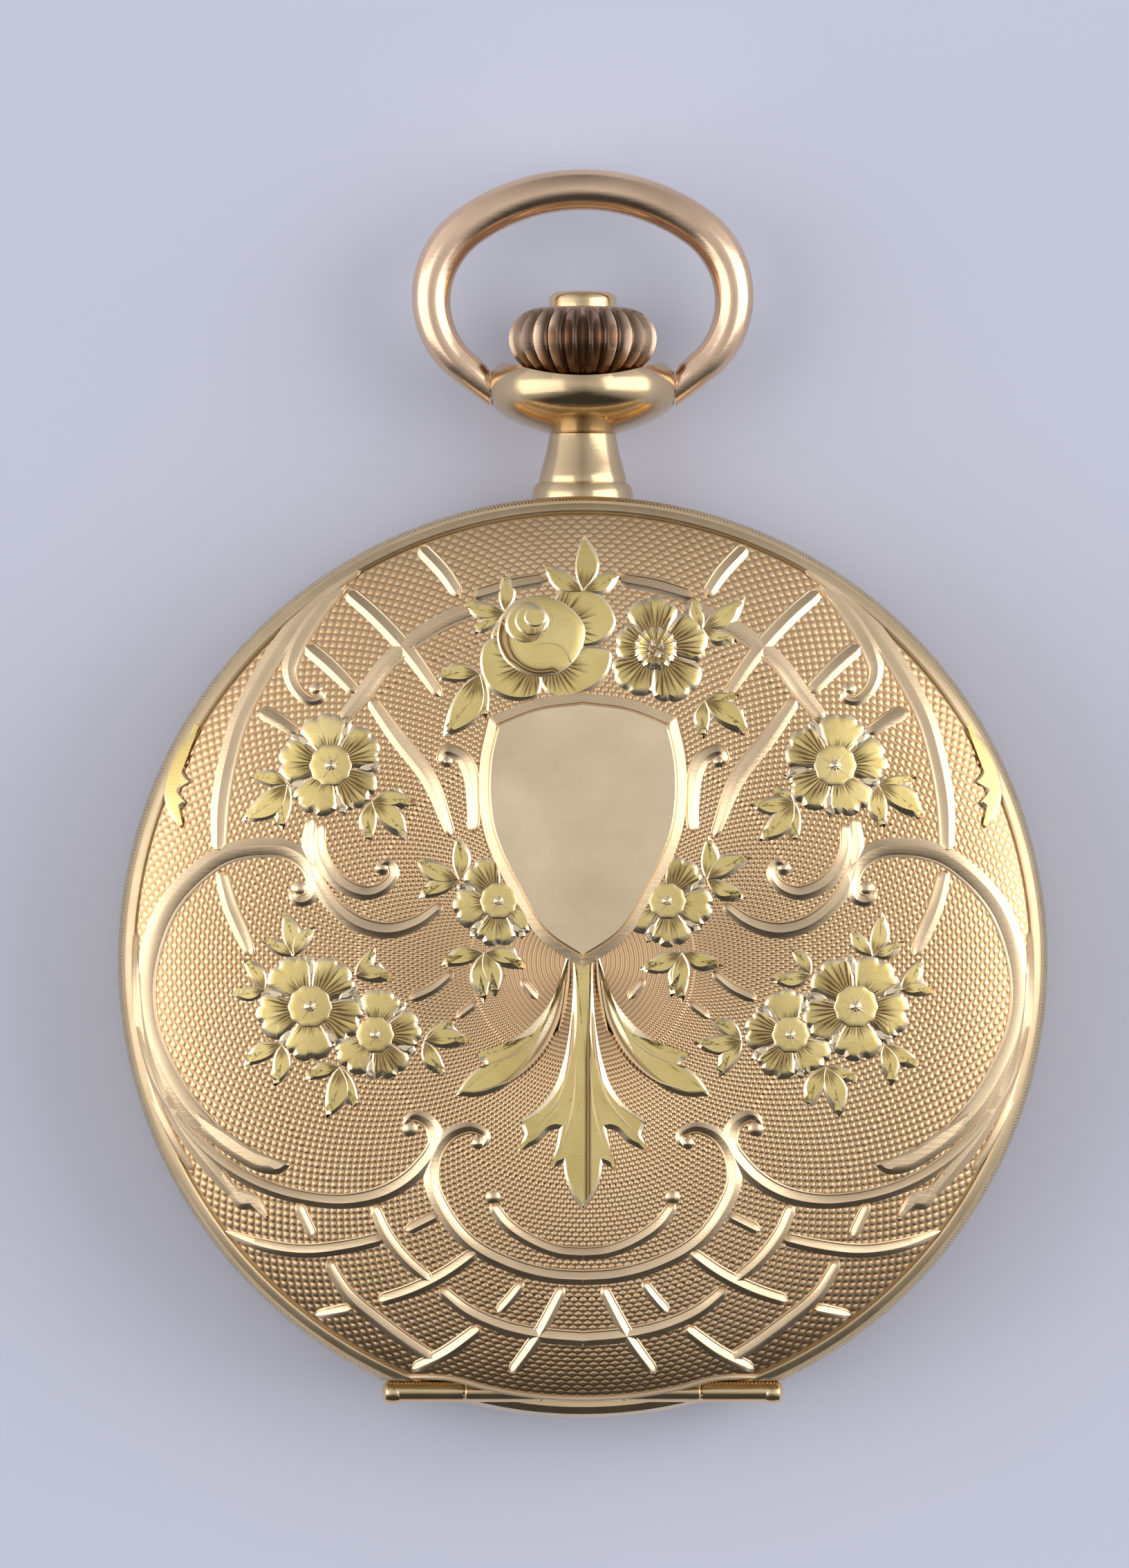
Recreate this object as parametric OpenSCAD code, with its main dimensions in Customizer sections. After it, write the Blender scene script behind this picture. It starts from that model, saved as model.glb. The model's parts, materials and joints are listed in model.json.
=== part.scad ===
// Hunter-case pocket watch, millimetres.
// It lies on its back cover: +Z is up through the front cover, +Y points to the crown and the
// bow, and both hinges are at -Y. The origin is the centre of the flat on the back cover.

/* [Case] */
// Diameter over the rims of the two covers
case_d = 50; // [49:0.5:51]
// Overall thickness, from the flat of the back cover to the top of the front cover
case_t = 12.2; // [12:0.1:13]
// Thickness of the sheet the covers are pressed from
shell_t = 0.5; // [0.4:0.05:0.6]
// Width of the hinge, over its end knuckles
hinge_w = 21; // [20:0.5:21]
// Radius of a hinge knuckle
knuckle_r = 0.6; // [0.5:0.05:0.62]

/* [Pendant, crown and bow] */
// Height of the winding stem above the resting surface
stem_z = 5.4; // [5.4:0.05:5.5]
// Distance from the watch's centre to the axis the bow swings on
bow_y = 31; // [30.5:0.1:31.5]
// Radius of the pendant ball
ball_r = 5; // [4.8:0.05:5]
// Half the width of the bow, to the centre of its wire
bow_a = 8.2; // [8:0.1:9]
// Height of the bow's wire centre line above its swing axis
bow_h = 10.7; // [10:0.1:12]
// Radius of the bow's wire
bow_wire_r = 1.1; // [0.9:0.05:1.2]
// Largest radius of the crown
crown_r = 4.03; // [3.8:0.01:4.1]
// Number of flutes round the crown
crown_flutes = 26; // [20:1:32]
// Radius of the push button in the crown
button_r = 1.84; // [1.6:0.01:1.9]

/* [Dial and hands] */
// Radius of the dial
dial_r = 19.4; // [19:0.1:19.6]
// Length of the minute hand
minute_len = 16; // [14:0.5:17]
// Length of the hour hand
hour_len = 11; // [9:0.5:12]
// Length of the seconds hand
seconds_len = 3.6; // [3:0.1:3.8]

/* [Movement] */
// Radius of the main plate
plate_r = 19.6; // [19.4:0.1:19.7]
// Radius of the balance wheel
balance_r = 5.1; // [4.8:0.1:5.1]
// Radius of the escape wheel
escape_r = 2.3; // [2.1:0.05:2.35]
// Module of the barrel, ratchet and crown wheel teeth
big_m = 0.2; // [0.2:0.01:0.2]
// Module of the centre wheel and motion work teeth
mid_m = 0.14; // [0.14:0.01:0.14]

/* [Hidden] */
$fn = 96;

gap = 0.1;          // between case parts that open and close on each other
fit = 0.03;         // radial running clearance of a pin in its hole
arbor_fit = 0.03;   // the same, for the movement's pivots
case_r = case_d / 2;
rim_in_r = case_r - 1.1;

// Heights through the case
back_rim_z = 2;
band_bottom = 3.8;
band_top = 7.3;
front_rim_z = 9;
band_r = case_r - 0.25;
ledge_z = 7.6;
plate_bottom = 5.6;
plate_top = 7.3;
bridge_bottom = 2.6;
bridge_top = 3.5;
cock_top = 3.4;
bridge_r = 18.8;

// Hinges: both lie on one chord, the front one above the band and the back one below it
hinge_y = -(case_r - 1.8);
hinge_drop = 0.35;
front_hinge_z = band_top + gap + hinge_drop;
back_hinge_z = band_bottom - gap - hinge_drop;
pin_r = 0.28;
chord_y = hinge_y + 0.65;
chord_wall = 0.4;
inner_knuckle = 2.15;
outer_knuckle = 6.4;

// Pendant and stem
neck_y = 28.5;
crown_y = 31.4;
crown_top = 35.3;
stem_upper_r = 0.8;
stem_lower_r = 0.45;
rod_r = 0.28;

// Movement layout, seen from above: the dial's 12 is at -X, its 6 at +X, the crown at 3
barrel_p = [-7.2, 5.4];
third_p = [4.847, -3.45];
fourth_p = [9, 0];
escape_p = [12.11, -3.11];
balance_p = [8.4, -8.8];
crown_wheel_p = [0, 12.625];
minute_p = [-1.98, -1.98];
cock_foot_p = [1.2, -14.8];
click_p = [-14.6, 7.4];
pallet_reach = 2.6;
fork_dir = atan2(balance_p.y - escape_p.y, balance_p.x - escape_p.x);
pallet_p = escape_p + pallet_reach * [cos(fork_dir), sin(fork_dir)];
pallet_foot_p = [13.6, -8.2];
small_m = 0.12;
fine_m = 0.1;
winding_pinion_y = 16.225;
contrate_r = winding_pinion_y - crown_wheel_p.y;
pillars = [[-6.5, 15.8], [7.5, 14.5], [14, 9.4]];
train_pillars = [[-12.5, -9], [-4.2, -9.6], [15.6, 2.5]];
jewel_r = 0.6;
pivot_r = 0.12;
screw_shank_r = 0.4;
screw_hole_r = screw_shank_r + 0.01;
sink_r = 0.86;              // room for a screw's head
sink_z = 2.95;
pillar_r = 1.2;
low_cut = 2;                // where cuts in the bridges start, below them
case_screw_points = [for (a = [20, 200]) 18.6 * [cos(a), sin(a)]];

// The hands stand at nine minutes past ten
clock_h = 10;
clock_min = 9;
clock_sec = 35;
minute_dir = 180 - 6 * clock_min;
hour_dir = 180 - 30 * clock_h - clock_min / 2;
seconds_dir = 180 - 6 * clock_sec;

// ---- Shared shapes ----

// Points of a flattened dome, from its top centre to its rim
dome_n = 3.4;
dome_m = 1.6;
function dome_points(r, h, steps = 20) = [for (i = [0:steps])
    let (t = 90 * i / steps) [r * pow(sin(t), 2 / dome_n), h * pow(cos(t), 2 / dome_m)]];

function dir_between(a, b) = atan2(b.y - a.y, b.x - a.x);

module at(p) {
    translate([p.x, p.y, 0]) children();
}

// A disc or ring from z0 to z1
module ring(r_out, r_in, z0, z1) {
    translate([0, 0, z0]) difference() {
        cylinder(r = r_out, h = z1 - z0);
        if (r_in > 0) translate([0, 0, -1]) cylinder(r = r_in, h = z1 - z0 + 2);
    }
}

module disc(r, z0, z1) {
    translate([0, 0, z0]) cylinder(r = r, h = z1 - z0);
}

// A box between two corners
module block(low, high) {
    translate(low) cube(high - low);
}

// A rod along X or along Y at height z
module rod_x(r, x0, x1, y, z) {
    translate([x0, y, z]) rotate([0, 90, 0]) cylinder(r = r, h = x1 - x0);
}

module rod_y(r, y0, y1) {
    translate([0, y0, stem_z]) rotate([-90, 0, 0]) cylinder(r = r, h = y1 - y0);
}

// Turns a profile of (radius, y) about the stem's axis
module turn_about_stem() {
    translate([0, 0, stem_z]) rotate([-90, 0, 0]) rotate_extrude() children();
}

// Outline of a toothed wheel with n teeth of module m, one tooth pointing along phase
module teeth(n, m, phase, tip = 0.9, root = 1.3) {
    r = n * m / 2;
    corners = [[-1, r - root * m, 0.75], [-1, r + tip * m, 0.22],
        [1, r + tip * m, 0.22], [1, r - root * m, 0.75]];
    polygon([for (i = [0:n - 1]) for (c = corners)
        let (a = phase + i * 360 / n + c[0] * c[2] * m / c[1] * 180 / PI)
        c[1] * [cos(a), sin(a)]]);
}

module toothed(n, m, phase, z0, z1) {
    translate([0, 0, z0]) linear_extrude(z1 - z0) teeth(n, m, phase);
}

// A going-train wheel: toothed rim, spokes and hub
module spoked_wheel(n, m, phase, z0, z1, spokes, hub) {
    rim_in = n * m / 2 - 1.3 * m - 0.4;
    difference() {
        toothed(n, m, phase, z0, z1);
        disc(rim_in, z0 - 1, z1 + 1);
    }
    for (i = [0:spokes - 1]) rotate([0, 0, 360 * i / spokes])
        block([hub / 2, -0.2, z0], [rim_in + 0.1, 0.2, z1]);
    disc(hub, z0 - 0.05, z1 + 0.05);
}

// An arbor with a fine pivot at each end
module arbor(r, z0, z1, pivot0, pivot1) {
    disc(r, z0, z1);
    disc(pivot_r, pivot0, z0 + 0.01);
    disc(pivot_r, z1 - 0.01, pivot1);
}

// A flat spiral strip
module spiral(r0, r1, turns, strip, z0, z1, steps = 20) {
    n = turns * steps;
    edge = function (i, side) let (a = 360 * i / steps, r = r0 + (r1 - r0) * i / n + side)
        r * [cos(a), sin(a)];
    translate([0, 0, z0]) linear_extrude(z1 - z0)
        polygon(concat([for (i = [0:n]) edge(i, 0)], [for (i = [n:-1:0]) edge(i, strip)]));
}

// A screw with a slotted head, head down
module screw(head_r, head_h, shank, z) {
    difference() {
        disc(head_r, z, z + head_h);
        block([-head_r - 1, -0.09, z - 1], [head_r + 1, 0.09, z + head_h * 0.4]);
    }
    disc(screw_shank_r, z + head_h - 0.01, z + head_h + shank);
}

// The pieces of a hinge barrel that belong to one leaf, given as spans along X
module knuckles(spans, z, leaf_low, leaf_high) {
    for (s = spans) {
        rod_x(knuckle_r, s[0], s[1], hinge_y, z);
        block([s[0], leaf_low.x, leaf_low.y], [s[1], leaf_high.x, leaf_high.y]);
    }
}

band_spans = [[-hinge_w / 2, -outer_knuckle - 0.05], [outer_knuckle + 0.05, hinge_w / 2]];
cover_spans = [[-outer_knuckle + 0.05, -inner_knuckle - gap],
    [inner_knuckle + gap, outer_knuckle - 0.05]];

// ---- Case ----

// Section through the band: a bulged outer wall, a ledge for the movement, a step for the
// bezel, and snap lips for the covers above and below
module band_section() {
    polygon([[20.4, band_bottom], [20.4, 3.2], [20.9, 3.2], [20.9, band_bottom],
        [22.9, band_bottom], [22.9, 3.15], [23.5, 3.15], [23.5, band_bottom],
        [24.1, band_bottom], [24.5, 4.1], [band_r, 5.1], [band_r, 6.0], [24.5, 7.0],
        [24.1, band_top], [23.5, band_top], [23.5, 8.0], [22.9, 8.0], [22.9, band_top],
        [21.9, band_top], [21.9, ledge_z], [19.75, ledge_z], [19.75, plate_bottom],
        [19.3, plate_bottom], [19.3, 5.1], [20.4, 5.1]]);
}

module spring_channel(a0, a1) {
    rotate([0, 0, a0]) rotate_extrude(angle = a1 - a0)
        translate([21.95, 6.3]) square([0.8, 2]);
}

module case_middle() {
    color("goldenrod") difference() {
        union() {
            difference() {
                rotate_extrude() band_section();
                // the lips stop short of the hinge
                block([-20, -30, band_top], [20, -21.6, 9]);
                block([-20, -30, 2], [20, -20, band_bottom]);
            }
            knuckles(concat(band_spans, [[-inner_knuckle, inner_knuckle]]), front_hinge_z,
                [hinge_y - 0.55, band_top - 0.4], [hinge_y + 0.5, front_hinge_z]);
            knuckles(band_spans, back_hinge_z,
                [hinge_y - 0.55, back_hinge_z], [hinge_y + 0.5, band_bottom + 0.4]);
        }
        // room for the knuckles of the covers
        for (s = cover_spans) rod_x(knuckle_r + 0.12, s[0] - 0.05, s[1] + 0.05,
            hinge_y, front_hinge_z);
        rod_x(knuckle_r + 0.12, -outer_knuckle, outer_knuckle, hinge_y, back_hinge_z);
        rod_x(pin_r + fit, -hinge_w, hinge_w, hinge_y, front_hinge_z);
        rod_x(pin_r + fit, -hinge_w, hinge_w, hinge_y, back_hinge_z);
        // the stem's way in, and the slot of the lid catch
        rod_y(0.9, 18, 30);
        block([-1.05, 21.6, 6.35], [1.05, 23.7, 9]);
        spring_channel(18, 87.2);
        spring_channel(198, 260);
    }
}

// A cover: a dome on an upright rim, cut off along the hinge chord and closed there by a wall.
// It is drawn bowl up, with z measured from the free edge of the rim.
module cover_shell(rim_h, rise) {
    outer = concat([for (p = dome_points(case_r, rise)) p + [0, rim_h]], [[case_r, 0]]);
    inner = concat([for (p = dome_points(rim_in_r, rise - shell_t)) p + [0, rim_h]],
        [[rim_in_r, -1], [0, -1]]);
    difference() {
        rotate_extrude() polygon(concat(outer, [[0, 0]]));
        difference() {
            rotate_extrude() polygon(inner);
            block([-30, -30, -2], [30, chord_y + chord_wall, 20]);
        }
        block([-30, -30, -2], [30, chord_y, 20]);
    }
}

module front_cover() {
    color("tan") difference() {
        union() {
            translate([0, 0, band_top + gap])
                cover_shell(front_rim_z - band_top - gap, case_t - front_rim_z);
            knuckles(cover_spans, front_hinge_z, [hinge_y, front_hinge_z - 0.3],
                [chord_y + 0.1, front_hinge_z + 0.45]);
        }
        rod_x(pin_r + fit, -hinge_w, hinge_w, hinge_y, front_hinge_z);
    }
}

module back_cover() {
    color("tan") difference() {
        union() {
            translate([0, 0, band_bottom - gap]) mirror([0, 0, 1])
                cover_shell(band_bottom - gap - back_rim_z, back_rim_z + 0.06);
            knuckles(cover_spans, back_hinge_z, [hinge_y, back_hinge_z - 0.45],
                [chord_y + 0.1, back_hinge_z + 0.3]);
        }
        rod_x(pin_r + fit, -hinge_w, hinge_w, hinge_y, back_hinge_z);
        block([-30, -30, -1], [30, 30, 0]);
        // room for the tab of the inner cover
        block([-2.3, -24, back_hinge_z - 0.5], [2.3, chord_y + chord_wall + 0.1, 6]);
    }
}

// Inner dust cover, hinged on the same pin as the back cover
module cuvette() {
    color("khaki") difference() {
        union() {
            rotate_extrude() polygon([[0, 0.9], [14, 1.05], [18, 1.35], [20.3, 2.0],
                [21.4, 2.7], [21.7, 3.1], [21.7, 3.7], [21.0, 3.7], [21.0, 3.2], [20.0, 2.4],
                [17.9, 1.75], [14, 1.4], [0, 1.25]]);
            difference() {
                knuckles([[-2.05, 2.05]], back_hinge_z,
                    [hinge_y, back_hinge_z - 0.3], [-21.2, back_hinge_z + 0.3]);
                disc(21.35, 2, 5);
            }
        }
        rod_x(pin_r + fit, -hinge_w, hinge_w, hinge_y, back_hinge_z);
    }
}

module front_hinge_pin() {
    color("gold") rod_x(pin_r, -hinge_w / 2 + 0.2, hinge_w / 2 - 0.2, hinge_y, front_hinge_z);
}

module back_hinge_pin() {
    color("gold") rod_x(pin_r, -hinge_w / 2 + 0.2, hinge_w / 2 - 0.2, hinge_y, back_hinge_z);
}

// Steel leaf that throws the front cover open, in its channel beside the hinge
module lift_spring() {
    color("steelblue") rotate([0, 0, 200]) rotate_extrude(angle = 57)
        translate([22.05, 6.4]) square([0.5, 0.75]);
}

// Steel leaf that holds the lid catch out
module lock_spring() {
    color("steelblue") rotate([0, 0, 20]) rotate_extrude(angle = 65)
        translate([22.05, 6.4]) square([0.5, 0.75]);
}

module lid_catch() {
    color("steelblue") {
        block([-0.9, 22.35, 6.45], [0.9, 23, 8]);
        block([-0.9, 22.9, 7.5], [0.9, 23.5, 8]);
    }
}

module case_screws() {
    color("steelblue") for (p = case_screw_points) at(p) screw(1, 0.5, 1.3, 4.6);
}

// ---- Pendant, crown and bow ----

module pendant() {
    color("gold") difference() {
        turn_about_stem() polygon([[0, 24], [2.6, 24], [2.6, 25.8], [2.4, 25.85], [2.0, 26.3],
            [1.85, 27], [1.8, 28], [1.85, neck_y], [2.7, neck_y + 0.2], [3.6, neck_y + 0.6],
            [4.4, neck_y + 1.2], [4.85, neck_y + 1.9], [ball_r, bow_y - 0.1],
            [ball_r - 0.12, bow_y + 0.7], [ball_r - 0.6, bow_y + 1.4],
            [ball_r - 0.85, bow_y + 1.4], [3.4, bow_y + 0.6], [2.6, bow_y + 0.2],
            [0, bow_y + 0.1]]);
        rod_y(0.9, 20, 34);
        for (x = [-8, 3.7]) rod_x(0.6 + fit, x, x + 4.3, bow_y, stem_z);
        // the neck sits on the band and keeps clear of both covers
        disc(24.62, band_bottom - 0.05, band_top + 0.05);
        disc(band_r + 0.02, 4, 7);
        disc(case_r + gap, band_top + 0.05, 12);
        disc(case_r + gap, 0, band_bottom - 0.05);
        // saddle that the crown sits down into
        translate([0, bow_y + 11.1, -5]) cylinder(r = 10.66, h = 20, $fn = 128);
    }
}

// The bow is an oval of three arcs, with a pin at each end in the pendant ball
side_r = 4.8;
side_x = bow_a - side_r;
rise_b = bow_h - side_r;
arc_k = (side_x * side_x - pow(rise_b - side_r, 2)) / (2 * (rise_b - side_r));
arc_r = rise_b + arc_k;
arc_a = atan2(arc_k, side_x);

module wire_arc(cx, cy, r, a0, a1, wire_r) {
    translate([cx, cy, stem_z]) rotate([0, 0, a0]) rotate_extrude(angle = a1 - a0)
        translate([r, 0]) circle(r = wire_r, $fn = 48);
}

module bow_side() {
    difference() {
        wire_arc(side_x, bow_y + side_r, side_r, -76, arc_a + 1.5, bow_wire_r - 0.02);
        block([-ball_r - 0.06, bow_y - 5, 0], [ball_r + 0.06, bow_y + 3, 12]);
    }
    rod_x(0.6, 3.9, ball_r + 0.6, bow_y, stem_z);
}

module bow() {
    color("rosybrown") {
        wire_arc(0, bow_y + side_r - arc_k, arc_r, arc_a, 180 - arc_a, bow_wire_r);
        bow_side();
        mirror([1, 0, 0]) bow_side();
    }
}

module crown() {
    color("saddlebrown") difference() {
        turn_about_stem() polygon([[stem_upper_r + fit, crown_y], [2.3, crown_y],
            [3.3, crown_y + 0.6], [3.85, crown_y + 1.3], [crown_r, crown_y + 2],
            [crown_r - 0.08, crown_y + 2.9], [crown_r - 0.45, crown_top - 0.35],
            [2.9, crown_top], [button_r + 0.1, crown_top], [button_r + 0.1, crown_top - 1.1],
            [stem_upper_r + fit, crown_top - 1.1]]);
        for (i = [0:crown_flutes - 1])
            translate([0, 0, stem_z]) rotate([0, 360 * i / crown_flutes, 0])
                translate([crown_r + 0.18, crown_y + 0.5, 0])
                    rotate([-90, 0, 0]) cylinder(r = 0.34, h = 5, $fn = 16);
    }
}

module push_button() {
    color("gold") {
        turn_about_stem() polygon([[0, crown_top - 0.4], [button_r, crown_top - 0.4],
            [button_r, crown_top + 0.55], [button_r - 0.12, crown_top + 0.78],
            [button_r - 0.4, crown_top + 0.9], [0, crown_top + 0.9]]);
        rod_y(rod_r, 27.4, crown_top - 0.3);
    }
}

module winding_stem() {
    color("silver") difference() {
        union() {
            rod_y(stem_lower_r, 12.6, 26);
            rod_y(stem_upper_r, 25.6, 33.9);
        }
        rod_y(rod_r + fit, 26.3, 40);
    }
}

// Winding pinion, whose end teeth turn the crown wheel
module winding_pinion() {
    color("silver") difference() {
        translate([0, winding_pinion_y - 0.4, stem_z]) rotate([-90, 0, 0])
            linear_extrude(0.8) teeth(16, 0.2, 90, 0.75, 1.1);
        rod_y(stem_lower_r, 10, 20);
    }
}

module sliding_pinion() {
    color("silver") difference() {
        union() {
            rod_y(1.2, 13.9, 14.4);
            rod_y(0.85, 14.3, 15);
            rod_y(1.2, 14.9, 15.5);
        }
        rod_y(stem_lower_r, 10, 20);
    }
}

// ---- Glass, dial and hands ----

module bezel() {
    color("gold") rotate_extrude() polygon([[20.15, ledge_z], [21.6, ledge_z], [21.6, 8.1],
        [21.35, 8.8], [20.9, 9.35], [20.45, 9.5], [20.2, 9.3], [20.2, 8.85], [19.2, 8.75],
        [18.9, 8.4], [18.9, 8.0], [20.15, 7.95]]);
}

module crystal() {
    edge_r = 20.1;
    bend = function (r, top, drop) [r, top - drop * pow(r / edge_r, 2)];
    color("lightblue", 0.4) rotate_extrude() polygon(concat(
        [for (i = [0:12]) bend(edge_r * i / 12, 10.2, 1.0)],
        [for (i = [12:-1:0]) bend(edge_r * i / 12, 9.75, 0.85)]));
}

module dial() {
    color("white") difference() {
        disc(dial_r, 7.4, 7.9);
        disc(1, 7, 9);
        at(fourth_p) disc(0.5, 7, 9);
        at(fourth_p) disc(4.4, 7.82, 9);
    }
}

// A spade hand along +X: boss, tapered stem, pierced spade and point
module spade_hand(length, boss, bore, spade, z0, z1) {
    spade_x = length - 2.6 * spade;
    translate([0, 0, z0]) linear_extrude(z1 - z0) difference() {
        union() {
            circle(r = boss);
            polygon([[0, -0.3], [spade_x, -0.16], [spade_x, 0.16], [0, 0.3]]);
            translate([spade_x, 0]) circle(r = spade);
            polygon([[spade_x, -spade * 0.8], [spade_x + spade * 1.2, -0.16], [length, 0],
                [spade_x + spade * 1.2, 0.16], [spade_x, spade * 0.8]]);
        }
        circle(r = bore);
        translate([spade_x, 0]) circle(r = spade * 0.45);
    }
}

module hour_hand() {
    color("midnightblue") rotate([0, 0, hour_dir])
        spade_hand(hour_len, 1.15, 0.8, 1.25, 8.32, 8.44);
}

module minute_hand() {
    color("midnightblue") rotate([0, 0, minute_dir])
        spade_hand(minute_len, 0.85, 0.5, 0.95, 8.62, 8.74);
}

module seconds_hand() {
    color("midnightblue") at(fourth_p) rotate([0, 0, seconds_dir]) difference() {
        union() {
            disc(0.3, 8.1, 8.2);
            block([-1.1, -0.07, 8.1], [seconds_len, 0.07, 8.2]);
        }
        disc(0.17, 8, 9);
    }
}

module cannon_pinion() {
    color("silver") difference() {
        union() {
            disc(0.5, 6.5, 8.75);
            toothed(10, mid_m, dir_between([0, 0], minute_p) + 18, 6.55, 6.85);
        }
        disc(0.27, 6, 9);
    }
}

module hour_wheel() {
    color("gold") difference() {
        union() {
            toothed(32, mid_m, dir_between([0, 0], minute_p), 6.95, 7.15);
            disc(0.8, 6.95, 8.46);
        }
        disc(0.56, 6, 9);
    }
}

module minute_wheel() {
    to_centre = dir_between(minute_p, [0, 0]);
    color("gold") at(minute_p) difference() {
        union() {
            toothed(30, mid_m, to_centre, 6.6, 6.8);
            toothed(8, mid_m, to_centre + 22.5, 6.8, 7.2);
        }
        disc(0.25 + arbor_fit, 6, 8);
    }
}

// ---- Plates and bridges ----

// Holes for the train's pivots: a jewel seat through z0..z1 at each arbor
module jewel_seats(points, z0, z1) {
    for (p = points) at(p) disc(jewel_r + 0.01, z0, z1);
}

train_jewels = [third_p, fourth_p, escape_p];
plate_jewels = [third_p, escape_p, pallet_p, balance_p];

module main_plate() {
    color("gold") difference() {
        union() {
            disc(plate_r, plate_bottom, plate_top);
            // block that carries the inner end of the stem
            block([-1.1, 12.4, 4.75], [1.1, 13.6, plate_bottom + 0.1]);
        }
        // recess of the motion work, under the dial
        disc(2.9, 6.45, 9);
        at(minute_p) disc(2.6, 6.45, 9);
        disc(stem_lower_r + 0.04, 4, 7);
        at(fourth_p) disc(0.2, 4, 9);
        at(barrel_p) disc(0.8 + fit, 4, 9);
        jewel_seats(plate_jewels, 5.59, 6.3);
        // stem bearing, and the window of the winding and sliding pinions
        rod_y(stem_lower_r + fit, 12, 21);
        block([-1.9, 13.7, 5], [1.9, 16.8, 9]);
        for (p = concat(pillars, train_pillars, [cock_foot_p, pallet_foot_p]))
            at(p) disc(screw_hole_r, 5, 6.2);
        for (p = case_screw_points) at(p) disc(screw_hole_r, 5, 6.6);
    }
    color("gold") at(minute_p) disc(0.25, 6.44, 7.25);
}

split_a = [-20, -4.34];     // ends of the line between the two bridges
split_b = [20, 9.34];

module bridge_disc() {
    disc(bridge_r, bridge_bottom, bridge_top);
}

// A foot of a bridge, and the hole for its screw
module pillar() {
    disc(pillar_r, bridge_top - 0.1, plate_bottom);
}

module sunk_hole() {
    disc(sink_r, low_cut, sink_z);
    disc(screw_hole_r, low_cut, 6);
}

module barrel_bridge() {
    color("gold") difference() {
        union() {
            intersection() {
                bridge_disc();
                at(split_a) rotate([0, 0, dir_between(split_a, split_b)])
                    block([-5, 0.15, 0], [50, 40, 9]);
            }
            at(crown_wheel_p) disc(4.9, bridge_bottom, 4);
            for (p = pillars) at(p) pillar();
        }
        at(barrel_p) disc(0.8 + fit, low_cut, 5);
        // groove for the crown teeth, open to the winding pinion
        at(crown_wheel_p) ring(4.05, 3.1, low_cut, 3.87);
        block([-1.95, 15.6, 3.3], [1.95, 18, 5]);
        for (p = pillars) at(p) sunk_hole();
        at(click_p) disc(0.35, low_cut, 3.2);
        at(crown_wheel_p) disc(0.3, low_cut, 3.4);
    }
}

module train_bridge() {
    color("gold") difference() {
        union() {
            intersection() {
                bridge_disc();
                at(split_a) rotate([0, 0, dir_between(split_a, split_b)])
                    block([-5, -40, 0], [50, -0.15, 9]);
                linear_extrude(9) polygon([[-20, -14], [-3, -12.2], [20, -6], [20, 12],
                    [-20, 12]]);
            }
            for (p = train_pillars) at(p) pillar();
        }
        at(balance_p) disc(5.6, low_cut, 9);
        disc(0.25 + arbor_fit, low_cut, 5);
        jewel_seats(train_jewels, low_cut, 5);
        for (p = train_pillars) at(p) sunk_hole();
    }
}

module balance_cock() {
    color("gold") difference() {
        union() {
            at(balance_p) disc(1.9, bridge_bottom, cock_top);
            at(balance_p) rotate([0, 0, dir_between(balance_p, cock_foot_p)])
                block([1, -1.5, bridge_bottom + 0.04],
                    [norm(cock_foot_p - balance_p) - 1, 1.5, cock_top - 0.04]);
            at(cock_foot_p) disc(2.4, bridge_bottom, plate_bottom);
        }
        at(balance_p) disc(jewel_r + 0.01, low_cut, 5);
        at(cock_foot_p) sunk_hole();
    }
}

module pallet_bridge() {
    color("gold") difference() {
        union() {
            at(pallet_p) disc(0.75, 4.28, 4.6);
            at(pallet_p) rotate([0, 0, dir_between(pallet_p, pallet_foot_p)])
                block([0.4, -0.6, 4.32], [norm(pallet_foot_p - pallet_p) - 0.6, 0.6, 4.57]);
            at(pallet_foot_p) disc(0.95, 4.3, plate_bottom);
        }
        at(pallet_p) disc(pivot_r + arbor_fit, 4, 5);
        at(pallet_foot_p) disc(screw_hole_r, 4, 6);
    }
}

module bridge_screws() {
    color("steelblue") {
        for (p = concat(pillars, train_pillars, [cock_foot_p])) at(p)
            screw(0.8, 0.32, 3, 2.62);
        at(pallet_foot_p) disc(screw_shank_r, 4.32, 6.1);
    }
}

module jewel(p, z0, z1) {
    at(p) ring(jewel_r, pivot_r + arbor_fit, z0, z1);
}

module jewels() {
    color("crimson") {
        for (p = train_jewels) jewel(p, 2.7, 3.4);
        jewel(balance_p, 2.7, 3.3);
        for (p = plate_jewels) jewel(p, 5.62, 6.28);
    }
}

// ---- Barrel and winding ----

barrel_tooth = dir_between(barrel_p, [0, 0]);

module barrel() {
    color("gold") at(barrel_p) difference() {
        union() {
            disc(7.5, 4.15, 5.42);
            toothed(80, big_m, barrel_tooth, 4.92, 5.42);
        }
        disc(7.2, 4.35, 5.22);
        disc(0.8 + fit, 4, 6);
    }
}

// Arbor with the hook for the mainspring and the slotted screw over the ratchet wheel
module barrel_arbor() {
    color("silver") at(barrel_p) {
        disc(0.8, 2.1, 6.4);
        disc(1.3, 4.4, 5.17);
        difference() {
            disc(1.5, 1.9, 2.12);
            block([-2, -0.12, 1.8], [2, 0.12, 2]);
        }
    }
}

module mainspring() {
    color("steelblue") at(barrel_p) spiral(1.5, 6.9, 9, 0.2, 4.42, 5.15);
}

// Spur teeth that mesh with the crown wheel
module ratchet_wheel() {
    color("silver") at(barrel_p) difference() {
        toothed(60, big_m, dir_between(barrel_p, crown_wheel_p), 2.15, 2.55);
        disc(0.8, 2, 3);
    }
}

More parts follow.
